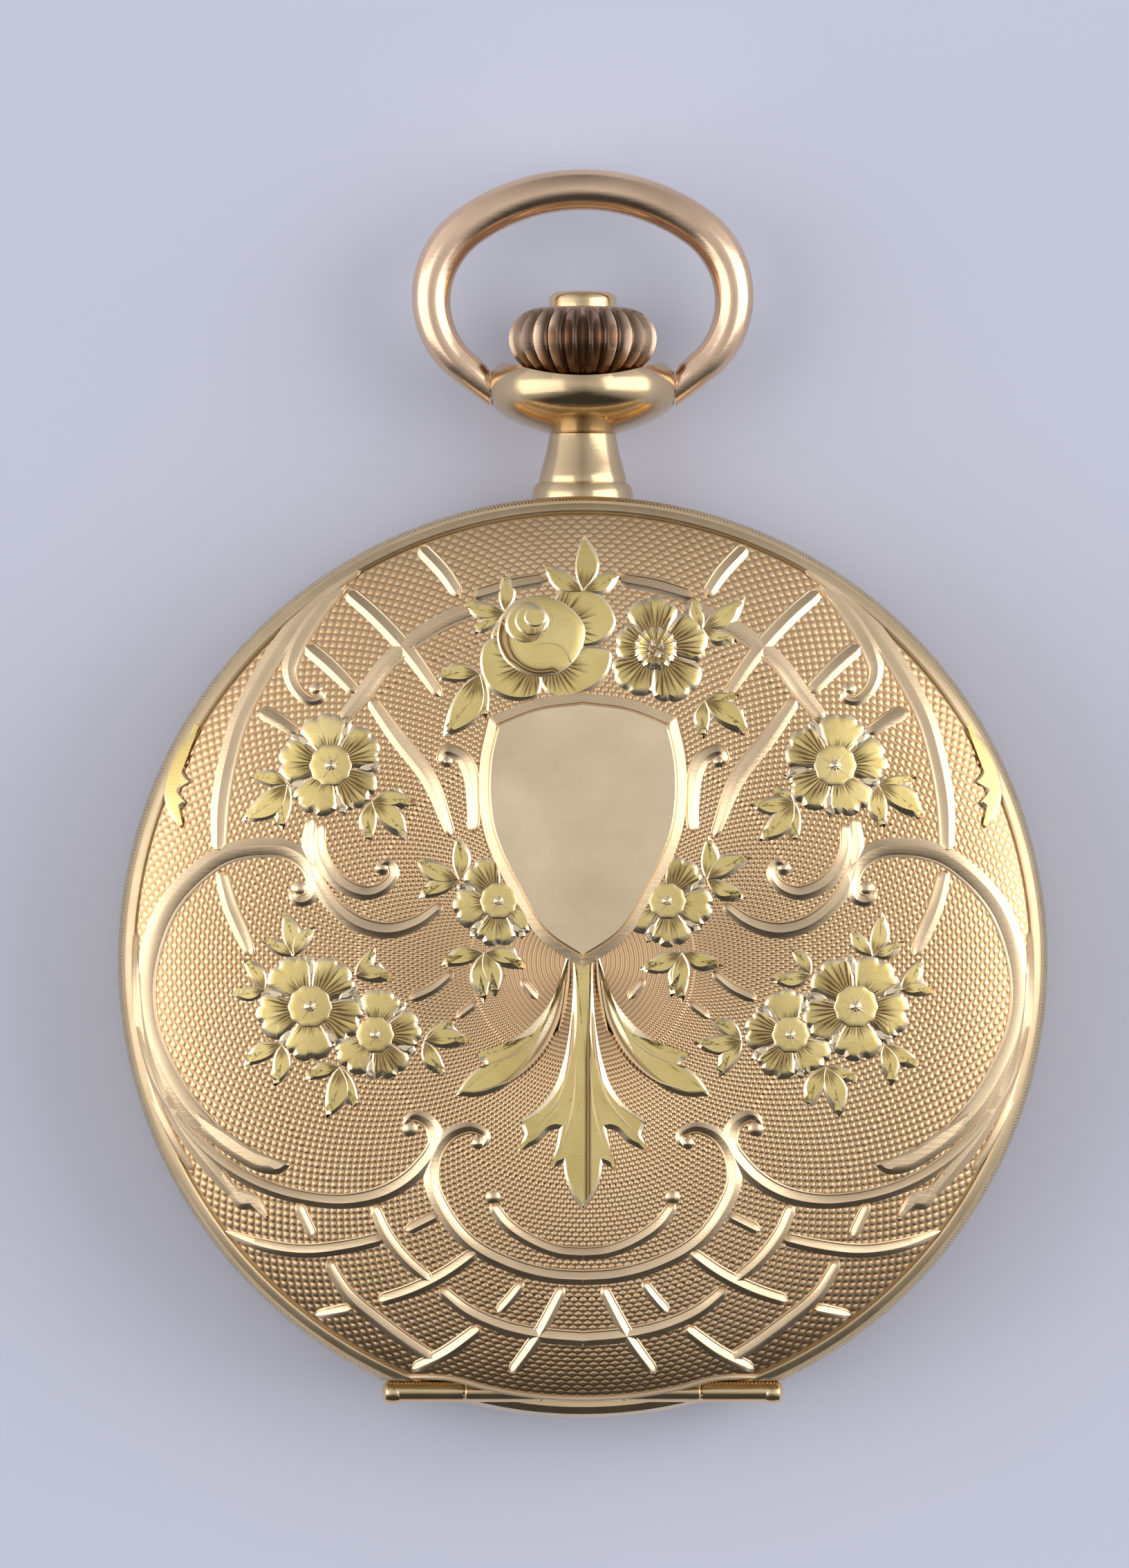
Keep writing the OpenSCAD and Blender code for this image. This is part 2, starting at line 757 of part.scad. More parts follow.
// Crown wheel: spur teeth to the ratchet wheel, face teeth down to the winding pinion
module crown_wheel() {
    color("silver") at(crown_wheel_p) difference() {
        union() {
            toothed(42, big_m, dir_between(crown_wheel_p, barrel_p) + 180 / 42, 2.15, 2.55);
            ring(3.95, 3.2, 2.5, 3.6);
            for (i = [0:35]) rotate([0, 0, 95 + 10 * i])
                block([3.2, -0.11, 3.5], [3.95, 0.11, 3.8]);
        }
        disc(0.8, 2, 3);
    }
}

module crown_wheel_screw() {
    color("silver") at(crown_wheel_p) {
        difference() {
            disc(1.4, 1.9, 2.1);
            block([-2, -0.12, 1.8], [2, 0.12, 1.98]);
        }
        disc(0.77, 2.09, bridge_bottom - 0.02);
        disc(0.28, 2.5, 3.3);
    }
}

module click() {
    color("silver") at(click_p) difference() {
        union() {
            disc(0.8, 2.15, 2.5);
            rotate([0, 0, 31.8]) linear_extrude(2.5) polygon([[0, -0.5], [2.1, -0.16],
                [2.1, 0.1], [0, 0.6]]);
        }
        disc(0.3 + fit, 2, 3);
        disc(5, -1, 2.15);
    }
}

module click_screw() {
    color("steelblue") at(click_p) {
        disc(0.3, 2.1, 3.15);
        disc(0.55, 1.95, 2.11);
    }
}

// Bent wire that presses the click towards the ratchet wheel
module click_spring() {
    color("steelblue") at(click_p) {
        rotate([0, 0, 95]) rotate_extrude(angle = 150) translate([1.2, 2.15])
            square([0.16, 0.25]);
        rotate([0, 0, 245]) translate([1.5, 0, 0]) disc(0.45, 2.15, bridge_bottom);
    }
}

// ---- Going train and escapement ----

module centre_wheel() {
    color("gold") {
        difference() {
            spoked_wheel(75, mid_m, dir_between([0, 0], third_p), 3.6, 3.85, 5, 1);
            disc(0.2, 2, 5);
        }
        disc(0.25, 2.7, 3.61);
        disc(stem_lower_r, 3.6, 6.3);
        disc(0.27, 6.2, 8.7);
        toothed(10, big_m, dir_between([0, 0], barrel_p) + 18, 4.85, 5.5);
    }
}

module third_wheel() {
    color("gold") at(third_p) {
        spoked_wheel(80, small_m, dir_between(third_p, fourth_p), 4.4, 4.6, 5, 0.8);
        toothed(10, mid_m, dir_between(third_p, [0, 0]) + 18, 3.55, 3.95);
        arbor(0.3, 3.6, 5.5, 2.8, 6.2);
    }
}

module fourth_wheel() {
    color("gold") at(fourth_p) {
        spoked_wheel(80, fine_m, dir_between(fourth_p, escape_p), 5.2, 5.35, 5, 0.7);
        toothed(10, small_m, dir_between(fourth_p, third_p) + 18, 4.2, 4.8);
        arbor(0.28, 3.55, 5.5, 2.8, 5.6);
        disc(0.17, 5.4, 8.24);
    }
}

// Escape wheel with 15 hooked teeth, and its pinion
module escape_wheel() {
    color("gold") at(escape_p) {
        difference() {
            translate([0, 0, 4.75]) linear_extrude(0.2) polygon([for (i = [0:14])
                for (c = [[0, 1.55], [4, escape_r - 0.1], [10, escape_r], [9, 1.75], [13, 1.55]])
                c[1] * [cos(24 * i + c[0]), sin(24 * i + c[0])]]);
            disc(1.25, 4, 6);
        }
        for (a = [0:90:270]) rotate([0, 0, a]) block([0, -0.12, 4.75], [1.3, 0.12, 4.95]);
        toothed(8, fine_m, dir_between(escape_p, fourth_p) + 22.5, 5.05, 5.45);
        arbor(0.22, 3.55, 5.5, 2.8, 6.2);
    }
}

// Lever of the escapement, drawn along +X from the pallet arbor to the balance
module pallet_fork() {
    color("silver") at(pallet_p) {
        rotate([0, 0, fork_dir]) {
            disc(0.5, 4.66, 5.04);
            translate([0, 0, 4.7]) linear_extrude(0.3) polygon([[0.2, -0.16], [2.3, -0.16],
                [2.3, -0.42], [3.15, -0.42], [3.15, -0.14], [2.6, -0.14], [2.6, 0.14],
                [3.15, 0.14], [3.15, 0.42], [2.3, 0.42], [2.3, 0.16], [0.2, 0.16]]);
            for (s = [-1, 1]) rotate([0, 0, s * 104])
                block([0.2, -0.15, 4.71], [1.25, 0.15, 4.99]);
        }
        arbor(0.2, 4.65, 5.5, 4.32, 6.2);
    }
}

module pallet_stones() {
    color("crimson") at(pallet_p) rotate([0, 0, fork_dir]) for (s = [-1, 1])
        rotate([0, 0, s * 104]) block([1.25, -0.13, 4.72], [1.5, 0.13, 4.98]);
}

module balance_wheel() {
    color("gold") at(balance_p) {
        ring(balance_r, balance_r - 0.5, 3.75, 4.15);
        for (a = [40, 220]) rotate([0, 0, a])
            block([0, -0.3, 3.8], [balance_r - 0.3, 0.3, 4.0]);
        disc(0.9, 3.8, 4.05);
        arbor(0.4, 3.45, 4.45, 2.8, 4.46);
        arbor(0.25, 4.4, 5.5, 4.3, 6.2);
    }
}

module balance_screws() {
    color("gold") at(balance_p) for (i = [0:13]) rotate([0, 0, 12.86 + i * 25.714])
        translate([balance_r, 0, 3.95]) rotate([0, 90, 0]) cylinder(r = 0.15, h = 0.24);
}

// Roller table with the impulse pin that works the fork
module roller() {
    color("silver") at(balance_p) {
        ring(1.1, 0.25, 4.47, 4.65);
        rotate([0, 0, fork_dir + 180]) translate([0.8, 0, 0]) disc(0.12, 4.6, 4.95);
    }
}

module hairspring() {
    color("steelblue") at(balance_p) {
        spiral(0.75, 2.6, 7, 0.07, 3.45, 3.68);
        translate([2.63, 0, 0]) disc(0.14, 3.42, 3.7);
    }
}

// Index arm that sets the rate, on top of the cock
module regulator() {
    color("silver") at(balance_p) {
        ring(1.4, 0.75, 2.36, 2.58);
        rotate([0, 0, dir_between(balance_p, cock_foot_p)])
            block([1.2, -0.16, 2.36], [5.6, 0.16, 2.58]);
    }
}

case_middle();
pendant();
bow();
front_cover();
back_cover();
cuvette();
front_hinge_pin();
back_hinge_pin();
lift_spring();
lock_spring();
lid_catch();
crown();
push_button();
winding_stem();
winding_pinion();
sliding_pinion();
bezel();
crystal();
case_screws();
dial();
hour_hand();
minute_hand();
seconds_hand();
cannon_pinion();
hour_wheel();
minute_wheel();
main_plate();
barrel_bridge();
train_bridge();
balance_cock();
pallet_bridge();
bridge_screws();
jewels();
barrel();
barrel_arbor();
mainspring();
ratchet_wheel();
crown_wheel();
crown_wheel_screw();
click();
click_screw();
click_spring();
centre_wheel();
third_wheel();
fourth_wheel();
escape_wheel();
pallet_fork();
pallet_stones();
balance_wheel();
balance_screws();
roller();
hairspring();
regulator();
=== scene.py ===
import json
import math

import bpy
import numpy as np
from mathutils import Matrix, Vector


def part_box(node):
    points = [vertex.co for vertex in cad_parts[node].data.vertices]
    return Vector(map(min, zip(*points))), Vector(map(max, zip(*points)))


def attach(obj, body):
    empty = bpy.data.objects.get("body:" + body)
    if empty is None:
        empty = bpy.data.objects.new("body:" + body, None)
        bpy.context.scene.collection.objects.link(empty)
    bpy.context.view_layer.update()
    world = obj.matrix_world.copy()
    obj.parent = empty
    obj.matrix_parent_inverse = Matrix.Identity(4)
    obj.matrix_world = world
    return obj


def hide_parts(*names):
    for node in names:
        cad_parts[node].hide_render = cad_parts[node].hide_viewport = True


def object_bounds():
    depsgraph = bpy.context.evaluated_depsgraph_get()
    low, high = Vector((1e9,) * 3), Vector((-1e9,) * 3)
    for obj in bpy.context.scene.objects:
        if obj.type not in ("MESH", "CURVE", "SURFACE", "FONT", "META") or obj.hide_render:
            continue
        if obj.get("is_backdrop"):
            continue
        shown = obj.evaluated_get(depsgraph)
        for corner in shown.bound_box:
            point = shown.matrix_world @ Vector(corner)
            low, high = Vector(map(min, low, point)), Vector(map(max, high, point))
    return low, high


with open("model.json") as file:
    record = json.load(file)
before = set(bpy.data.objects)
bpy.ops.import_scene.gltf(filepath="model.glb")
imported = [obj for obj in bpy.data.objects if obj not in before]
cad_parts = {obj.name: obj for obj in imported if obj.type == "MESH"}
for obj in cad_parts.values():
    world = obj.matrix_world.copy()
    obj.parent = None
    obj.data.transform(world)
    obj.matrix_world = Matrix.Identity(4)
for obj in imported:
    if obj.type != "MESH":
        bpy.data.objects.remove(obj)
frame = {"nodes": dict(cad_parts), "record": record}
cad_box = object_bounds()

MM = 0.001
PHOTO_W, PHOTO_H = 1633, 2268


def node_box(node):
    """Lowest and highest corner of a CAD node, in millimetres."""
    return [np.array(corner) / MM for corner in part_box(node)]


# ---- Driving sizes ----
cover_box = node_box("front_cover")
CASE_R = cover_box[1][0]                # radius over the covers
TOP_Z = cover_box[1][2]                 # top of the front cover
DOME_RISE = 3.2                         # height of its dome above the rim
DOME_N, DOME_M = 3.4, 1.6               # how square the dome's section is
RIM_Z = TOP_Z - DOME_RISE
EDGE_Z = RIM_Z - 1.6                    # free edge of the front cover
SHEET = 0.5
SINK = 0.17                             # the ground lies this far under the dome's outline
HINGE_Y = -23.2
CHORD_Y = HINGE_Y + 0.65                # where the cover is cut off for the hinge
FRONT_HINGE_Z = 7.75
HINGE_END = 10.3                        # half length of the hinge
KNUCKLE_R = 0.6
LIP_R = 23.6                            # the cover reaches this far over the hinge
STEM_Z = 5.4
BOW_Y = 31.0                            # axis the bow swings on
BALL_R = 5.0
BALL_FLAT = BALL_R - 0.04               # half width of the ball, cut off flat beside the bow
CROWN_Y, CROWN_TOP = 31.4, 35.3
BUTTON_R = 1.84


def dome(r, radius=CASE_R, rise=DOME_RISE):
    """Height of the flattened dome at radius r."""
    t = np.arcsin(np.clip(r / radius, 0, 1) ** (DOME_N / 2))
    return RIM_Z + rise * np.cos(t) ** (2 / DOME_M)


def ground_z(p):
    """Height of the cover's ground under plan points p."""
    return dome(np.hypot(p[..., 0], p[..., 1])) - SINK


# ---- Materials ----
def node_material(name):
    material = bpy.data.materials.new(name)
    material.use_nodes = True
    return material, material.node_tree


def feed(tree, value, socket):
    """Links an input to another node's output, or sets it to a constant."""
    if isinstance(value, bpy.types.NodeSocket):
        tree.links.new(value, socket)
    else:
        socket.default_value = (*value, 1) if socket.type == "RGBA" else value


def add_node(tree, kind, **inputs):
    """Adds a shader node and feeds its inputs."""
    node = tree.nodes.new("ShaderNode" + kind)
    for name, value in inputs.items():
        feed(tree, value, node.inputs[name])
    return node


def texture_coordinates(tree, scale=(1, 1, 1)):
    place = add_node(tree, "TexCoord").outputs["Object"]
    return add_node(tree, "Mapping", Vector=place, Scale=scale).outputs["Vector"]


def components(tree, vector):
    return add_node(tree, "SeparateXYZ", Vector=vector).outputs


def noise(tree, vector, scale, detail=3.0, roughness=0.55):
    return add_node(tree, "TexNoise", Vector=vector, Scale=scale, Detail=detail,
                    Roughness=roughness).outputs["Fac"]


def ramp(tree, factor, stops):
    """A colour ramp; each stop is (position, colour)."""
    node = add_node(tree, "ValToRGB", Fac=factor)
    elements = node.color_ramp.elements
    while len(elements) < len(stops):
        elements.new(0.5)
    for element, (position, colour) in zip(elements, stops):
        element.position = position
        element.color = (*colour, 1)
    return node.outputs["Color"]


def mix(tree, factor, a, b, blend="MIX"):
    """Mixes two colours; each may be a socket or a constant, and so may the factor."""
    node = tree.nodes.new("ShaderNodeMix")
    node.data_type = "RGBA"
    node.blend_type = blend
    for place, value in ((0, factor), (6, a), (7, b)):
        feed(tree, value, node.inputs[place])
    return node.outputs[2]


def calculate(tree, operation, *values, clamp=False):
    node = tree.nodes.new("ShaderNodeMath")
    node.operation = operation
    node.use_clamp = clamp
    for socket, value in zip(node.inputs, values):
        feed(tree, value, socket)
    return node.outputs[0]


def dress(tree, colour, rough, metallic=1.0, **sockets):
    """Gives the material its colour, its roughness and any other value."""
    inputs = tree.nodes["Principled BSDF"].inputs
    values = {"Base Color": colour, "Roughness": rough, "Metallic": metallic, **sockets}
    for name, value in values.items():
        feed(tree, value, inputs[name])


def bump(tree, height, strength, distance=0.00005):
    node = add_node(tree, "Bump", Strength=strength, Distance=distance, Height=height)
    feed(tree, node.outputs["Normal"], tree.nodes["Principled BSDF"].inputs["Normal"])


def carved(tree):
    """The vector stored on the cover's pieces: angle and distance from a petal's base, and depth,
    which sets the painted shade.
    """
    attribute = tree.nodes.new("ShaderNodeAttribute")
    attribute.attribute_name = "carving"
    return components(tree, attribute.outputs["Vector"])


WHITE = (1.0, 1.0, 1.0)
FOOT_SHADE = (0.20, 0.11, 0.045)              # painted shade where the carving meets the ground


def paint_shade_where_low(tree, colour, foot=FOOT_SHADE):
    """Darkens a colour as painted shade where the carving sits lowest: at the feet of raised
    shapes, in the cuts of the ground, in the crown's flutes.
    """
    return mix(tree, 1.0, colour, mix(tree, carved(tree)[2], foot, WHITE), "MULTIPLY")


def metal(name, colour, rough, grain=420.0, scratch=0.25, spread=0.08, cut=None):
    """Polished or satin metal: slow colour drift, worn lighter patches, fine crossing scratches.

    cut is the tone of the painted shade where its carving meets the ground or sits lowest, if it
    has any."""
    material, tree = node_material(name)
    place = texture_coordinates(tree)
    worn = tuple(min(1.0, c * 1.12 + 0.02) for c in colour)
    dull = tuple(c * 0.86 for c in colour)
    tint = ramp(tree, noise(tree, place, 160.0, 4.0), [(0.32, dull), (0.55, colour), (0.75, worn)])
    hair = noise(tree, texture_coordinates(tree, (1.0, 14.0, 1.0)), grain, 5.0, 0.7)
    wear = calculate(tree, "MULTIPLY_ADD", noise(tree, place, 700.0), spread * 2, rough - spread)
    dress(tree, paint_shade_where_low(tree, tint, cut) if cut else tint,
          calculate(tree, "MULTIPLY_ADD", hair, spread, wear, clamp=True))
    bump(tree, hair, scratch)
    return material


def engraved_gold():
    """Satin green gold cut with fans of fine dark lines from the base of each petal, with painted
    shade at the feet of its shapes.
    """
    material, tree = node_material("green_gold_satin")
    angle, reach, _ = carved(tree)
    line = calculate(tree, "ABSOLUTE", calculate(tree, "SINE",
                     calculate(tree, "MULTIPLY", angle, 19.0)))
    line = calculate(tree, "SMOOTH_MIN", calculate(tree, "MULTIPLY", line, 1.15), 1.0, 0.2)
    uneven = tree.nodes.new("ShaderNodeTexNoise")
    uneven.noise_dimensions = "1D"
    uneven.inputs["Scale"].default_value = 7.0
    feed(tree, angle, uneven.inputs["W"])
    length = calculate(tree, "MULTIPLY_ADD", uneven.outputs["Fac"], 0.85, 0.18)
    inside = calculate(tree, "MULTIPLY", calculate(tree, "SUBTRACT", length, reach), 4.0,
                       clamp=True)
    dark = calculate(tree, "MULTIPLY", calculate(tree, "SUBTRACT", 1.0, line), inside)
    shadow = calculate(tree, "MULTIPLY_ADD", inside, 0.55, dark, clamp=True)
    satin = ramp(tree, noise(tree, texture_coordinates(tree), 260.0, 4.0),
                 [(0.3, (0.72, 0.54, 0.20)), (0.55, (0.84, 0.65, 0.26)),
                  (0.8, (0.90, 0.73, 0.34))])
    colour = mix(tree, shadow, satin, (0.17, 0.095, 0.04))
    brush = noise(tree, texture_coordinates(tree, (1.0, 9.0, 1.0)), 900.0, 5.0, 0.7)
    dress(tree, paint_shade_where_low(tree, colour), calculate(tree, "MULTIPLY_ADD", brush, 0.16, 0.30))
    bump(tree, calculate(tree, "SUBTRACT", brush, dark), 0.35, 0.00003)
    return material


def ground_gold():
    """Engine-turned rose gold, with painted shade where the cuts run."""
    material, tree = node_material("engine_turned_gold")
    place = texture_coordinates(tree)
    drift = ramp(tree, noise(tree, place, 70.0, 4.0),
                 [(0.3, (0.84, 0.61, 0.36)), (0.6, (0.92, 0.69, 0.43)), (0.8, (0.95, 0.75, 0.50))])
    # the cuts darken towards (0.62, 0.47, 0.34): painted shade
    dress(tree, paint_shade_where_low(tree, drift, (0.62, 0.47, 0.34)),
          calculate(tree, "MULTIPLY_ADD", noise(tree, place, 900.0), 0.12, 0.20))
    return material


def hatched_gold(name, colour, waves, strength):
    """Gold whose upright edge is cut all round with small slanted strokes."""
    material, tree = node_material(name)
    place = add_node(tree, "TexCoord").outputs["Object"]
    x, y, z = components(tree, place)
    around = calculate(tree, "MULTIPLY", calculate(tree, "ARCTAN2", y, x), waves)
    slant = calculate(tree, "MULTIPLY_ADD", z, 5200.0, around)
    stroke = calculate(tree, "ABSOLUTE", calculate(tree, "SINE", slant))
    ruffle = noise(tree, place, 1500.0, 4.0)
    cut = calculate(tree, "MULTIPLY_ADD", ruffle, 0.8, calculate(tree, "MULTIPLY", stroke, 0.6),
                    clamp=True)
    dark = tuple(c * 0.35 for c in colour)
    dress(tree, ramp(tree, cut, [(0.3, dark), (0.62, colour), (1.0, colour)]),
          calculate(tree, "MULTIPLY_ADD", ruffle, 0.2, 0.16))
    bump(tree, cut, strength, 0.0001)
    return material


ROSE = (0.84, 0.59, 0.40)
YELLOW = (0.86, 0.64, 0.36)
POLISHED = metal("polished_gold", YELLOW, 0.13, scratch=0.10)
# bright-cut and scroll gold carry painted shade at the feet of their carving
BRIGHT_CUT = metal("bright_cut_gold", (0.95, 0.76, 0.50), 0.16, scratch=0.12, cut=FOOT_SHADE)
SCROLL = metal("scroll_gold", (0.90, 0.67, 0.42), 0.20, scratch=0.18, cut=FOOT_SHADE)
SHIELD = metal("shield_gold", (0.90, 0.71, 0.46), 0.24, grain=200.0, scratch=0.04)
# rim gold, a darker copy of the case gold: painted shade on the rim
RIM_GOLD_SHADED = metal("rim_gold_painted_shade", (0.64, 0.48, 0.29), 0.30, scratch=0.04)
# pendant gold, a darker copy of the case gold: painted shade and painted dark reflection on the
# ball and neck
PENDANT_GOLD_SHADED = metal("pendant_gold_painted_shade", (0.66, 0.49, 0.29), 0.12, scratch=0.10)
BOW_GOLD = metal("bow_rose_gold", ROSE, 0.14, grain=260.0, scratch=0.15)
# crown gold kept darker, its flute bottoms darkened towards (0.22, 0.20, 0.19): painted shade of
# the ribs
CROWN_GOLD_SHADED = metal("crown_gold", (0.66, 0.46, 0.33), 0.17, spread=0.10, cut=(0.22, 0.20, 0.19))
GREEN = engraved_gold()
GROUND = ground_gold()
EDGE = hatched_gold("engraved_edge_gold", (0.72, 0.56, 0.33), 420.0, 0.6)


# ---- Mesh making ----
def scene_object(name, data):
    made = bpy.data.objects.new(name, data)
    bpy.context.scene.collection.objects.link(made)
    return made


class Piece:
    """Collects mesh parts, then becomes one object."""

    def __init__(self):
        self.verts, self.faces, self.slots, self.carving = [], [], [], []
        self.count = 0

    def add(self, verts, faces, slot=0, carving=None):
        """verts is an n by 3 array in mm; faces index into it; slot is one number or one each."""
        verts = np.asarray(verts, float)
        self.verts.append(verts)
        self.carving.append(np.zeros_like(verts) if carving is None else carving)
        self.faces += [tuple(int(i) + self.count for i in f) for f in faces]
        self.slots += [slot] * len(faces) if isinstance(slot, int) else list(slot)
        self.count += len(verts)

    def build(self, name, body, materials, replaces=(), sharp=25.0):
        mesh = bpy.data.meshes.new(name)
        verts = np.concatenate(self.verts)
        mesh.from_pydata(verts * MM, [], self.faces)
        for material in materials:
            mesh.materials.append(material)
        mesh.polygons.foreach_set("material_index", self.slots)
        carving = mesh.attributes.new("carving", "FLOAT_VECTOR", "POINT")
        carving.data.foreach_set("vector", np.concatenate(self.carving).ravel())
        mesh.polygons.foreach_set("use_smooth", [True] * len(mesh.polygons))
        mesh.set_sharp_from_angle(angle=math.radians(sharp))
        mesh.update()
        piece = scene_object(name, mesh)
        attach(piece, body)
        if replaces:
            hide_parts(*replaces)
        return piece


def quads(rows, columns, closed=True):
    """Faces of a grid of rows by columns vertices, row after row; closed joins its sides."""
    i = np.arange(rows - 1)[:, None] * columns
    j = np.arange(columns if closed else columns - 1)[None, :]
    after = (j + 1) % columns
    corners = [i + j, i + after, i + columns + after, i + columns + j]
    return np.stack([np.broadcast_to(c, (i.size, j.size)) for c in corners], -1).reshape(-1, 4)


def capped(rows, columns):
    """Faces of a tube of rows by columns vertices, with a flat cap on either end."""
    return [tuple(int(i) for i in f) for f in quads(rows, columns)] + [
        tuple(range(columns))[::-1], tuple(range((rows - 1) * columns, rows * columns))]


def flipped(faces):
    return [f[::-1] for f in faces]


def whole_turn(count):
    """Evenly spaced angles of one turn."""
    return 2 * math.pi * np.arange(count) / count


def run_along(points):
    """How far each plan point lies from the first, along the line through them."""
    return np.concatenate([[0], np.cumsum(np.linalg.norm(np.diff(points, axis=0), axis=1))])


def directions(path):
    """Unit vectors along a line of plan points, and to the left of it."""
    along = np.gradient(path, axis=0)
    along /= np.linalg.norm(along, axis=1)[:, None]
    return along, np.stack([-along[:, 1], along[:, 0]], 1)


FAR = 9.0                               # beyond the reach of any engraved line


def unlined(depth):
    """The carving vector of vertices without engraved lines."""
    return np.column_stack([depth * 0, depth * 0 + FAR, depth])


def spline(points, step=0.12):
    """Evenly spaced points on a smooth curve through points of any dimension."""
    p = np.array(points, float)
    knots = run_along(p[:, :2])
    slopes = np.gradient(p, knots, axis=0, edge_order=1)
    fine = []
    for i in range(len(p) - 1):
        span = knots[i + 1] - knots[i]
        t = np.linspace(0, 1, 9)[:-1, None]
        fine.append((2 * t**3 - 3 * t**2 + 1) * p[i] + (t**3 - 2 * t**2 + t) * span * slopes[i]
                    + (3 * t**2 - 2 * t**3) * p[i + 1] + (t**3 - t**2) * span * slopes[i + 1])
    fine = np.concatenate(fine + [p[-1:]])
    length = run_along(fine[:, :2])
    count = max(4, int(length[-1] / step) + 1)
    at = np.linspace(0, length[-1], count)
    return np.stack([np.interp(at, length, fine[:, k]) for k in range(p.shape[1])], 1)


def mirrored(points):
    """The same plan points on the other side of the watch."""
    return np.array(points, float) * [-1, *[1] * (len(points[0]) - 1)]


def sides(points):
    """The points as given, and mirrored."""
    return [np.array(points, float), mirrored(points)]


# ---- Engraving on the cover ----
RIBBON = [(-1.0, -0.05), (-1.0, 0.05), (-0.5, 0.12), (-0.25, 0.18), (0.55, 0.09), (0.7, 0.05),
          (0.85, 0.10), (1.0, 0.08), (1.0, -0.05)]
RIDGE = [(-1.0, -0.04), (-0.15, 0.14), (0.35, 0.13), (1.0, -0.04)]


def ribbon(piece, points, width, section=RIBBON, slot=0, lift=0.0, ends=(0.35, 0.35)):
    """A band that follows points over the ground, narrowing over its end lengths in mm."""
    path = spline(points)
    widths = path[:, 2] if path.shape[1] > 2 else np.full(len(path), width)
    plan = path[:, :2]
    across = directions(plan)[1]
    run = run_along(plan)
    taper = np.ones(len(run))
    for distance, end in ((run, ends[0]), (run[-1] - run, ends[1])):
        if end > 0:
            taper *= np.sqrt(np.clip(distance / end, 0, 1) * 0.97 + 0.03)
    section = np.array(section)
    u = section[:, 0][None, :, None] * (widths * taper / 2)[:, None, None]
    plan_points = plan[:, None, :] + across[:, None, :] * u
    tall = np.minimum(1, widths * taper / 0.45)[:, None]
    z = ground_z(plan_points) + np.where(section[:, 1] > 0, section[:, 1] * tall, section[:, 1])
    z = z + lift * (section[:, 1] > 0)
    n = len(section)
    verts = np.concatenate([plan_points, z[..., None]], -1).reshape(-1, 3)
    faces = capped(len(path), n)
    # the band's low edges get the painted shade
    raised = np.tile(section[:, 1] > 0, len(path)).astype(float)
    piece.add(verts, flipped(faces[:-2]) + faces[-2:], slot, unlined(raised))


def inward(outline):
    """Unit vectors that point into a closed outline that runs anticlockwise."""
    step = np.roll(outline, -1, 0) - np.roll(outline, 1, 0)
    step /= np.maximum(np.linalg.norm(step, axis=1), 1e-9)[:, None]
    return np.stack([-step[:, 1], step[:, 0]], 1)


def anticlockwise(outline):
    x, y = outline[:, 0], outline[:, 1]
    area = np.sum(x * np.roll(y, -1) - y * np.roll(x, -1))
    return outline if area > 0 else outline[::-1]


SLOPE = 0.5                             # rise of a bright-cut bevel over its width
FOOT_Z = -0.05                          # raised shapes start this far below the ground


def fan(base, towards, reach):
    """Engraved lines that spread from base; reach is the longest they may run."""
    base = np.array(base, float)
    axis = np.array(towards, float) - base

    def lines(plan):
        away = plan - base
        across = away @ np.array([-axis[1], axis[0]])
        return np.column_stack([np.arctan2(across, away @ axis), np.hypot(*away.T) / reach])
    return lines


def follow(edge, reach):
    """Engraved lines that run along an edge, up to reach away from it."""
    def lines(plan):
        away = np.linalg.norm(plan[:, None] - np.array(edge)[None], axis=2).min(1)
        return np.column_stack([away * 0.9, away / reach])
    return lines


def plateau(piece, outline, lift=0.2, bevel=0.14, crown=0.0, centre=None, lines=None,
            slots=(0, 1)):
    """A flat-topped raised shape with bevelled sides; lines gives its engraving."""
    outline = anticlockwise(np.array(outline, float))
    n = len(outline)
    centre = outline.mean(0) if centre is None else np.array(centre, float)
    inwards = inward(outline)
    bevel = np.broadcast_to(bevel, n) * (1 + 0.9 * np.clip(inwards[:, 1], 0, 1))
    top = outline + inwards * bevel[:, None]
    shoulder = np.maximum(lift - SLOPE * bevel, FOOT_Z + 0.06)
    rings = [outline, outline, top] + [centre + (top - centre) * s for s in (0.8, 0.5, 0.2)]
    heights = [FOOT_Z, shoulder, lift] + [lift + crown * (1 - s * s) for s in (0.8, 0.5, 0.2)]
    plan = np.concatenate(rings + [centre[None]])
    above = np.concatenate([np.broadcast_to(h, n) for h in heights] + [[lift + crown]])
    verts = np.column_stack([plan, ground_z(plan) + above])
    faces = [tuple(f) for f in quads(len(rings), n)]
    slot = [slots[1]] * (2 * n) + [slots[0]] * (len(faces) - 2 * n)
    last = (len(rings) - 1) * n
    faces += [(last + i, last + (i + 1) % n, len(plan) - 1) for i in range(n)]
    faces += [tuple(range(n))[::-1]]
    slot += [slots[0]] * n + [slots[1]]
    carving = unlined(np.ones(len(plan)))
    # the foot ring gets the painted shade
    carving[:n, 2] = 0.0
    if lines is not None:
        carving[:, :2] = lines(plan)
    piece.add(verts, faces, slot, carving)


def polar(centre, r, degrees):
    a = np.radians(degrees)
    return np.stack([centre[0] + r * np.cos(a), centre[1] + r * np.sin(a)], -1)


def circle(centre, r, count):
    return polar(centre, r, np.arange(count) * 360 / count)


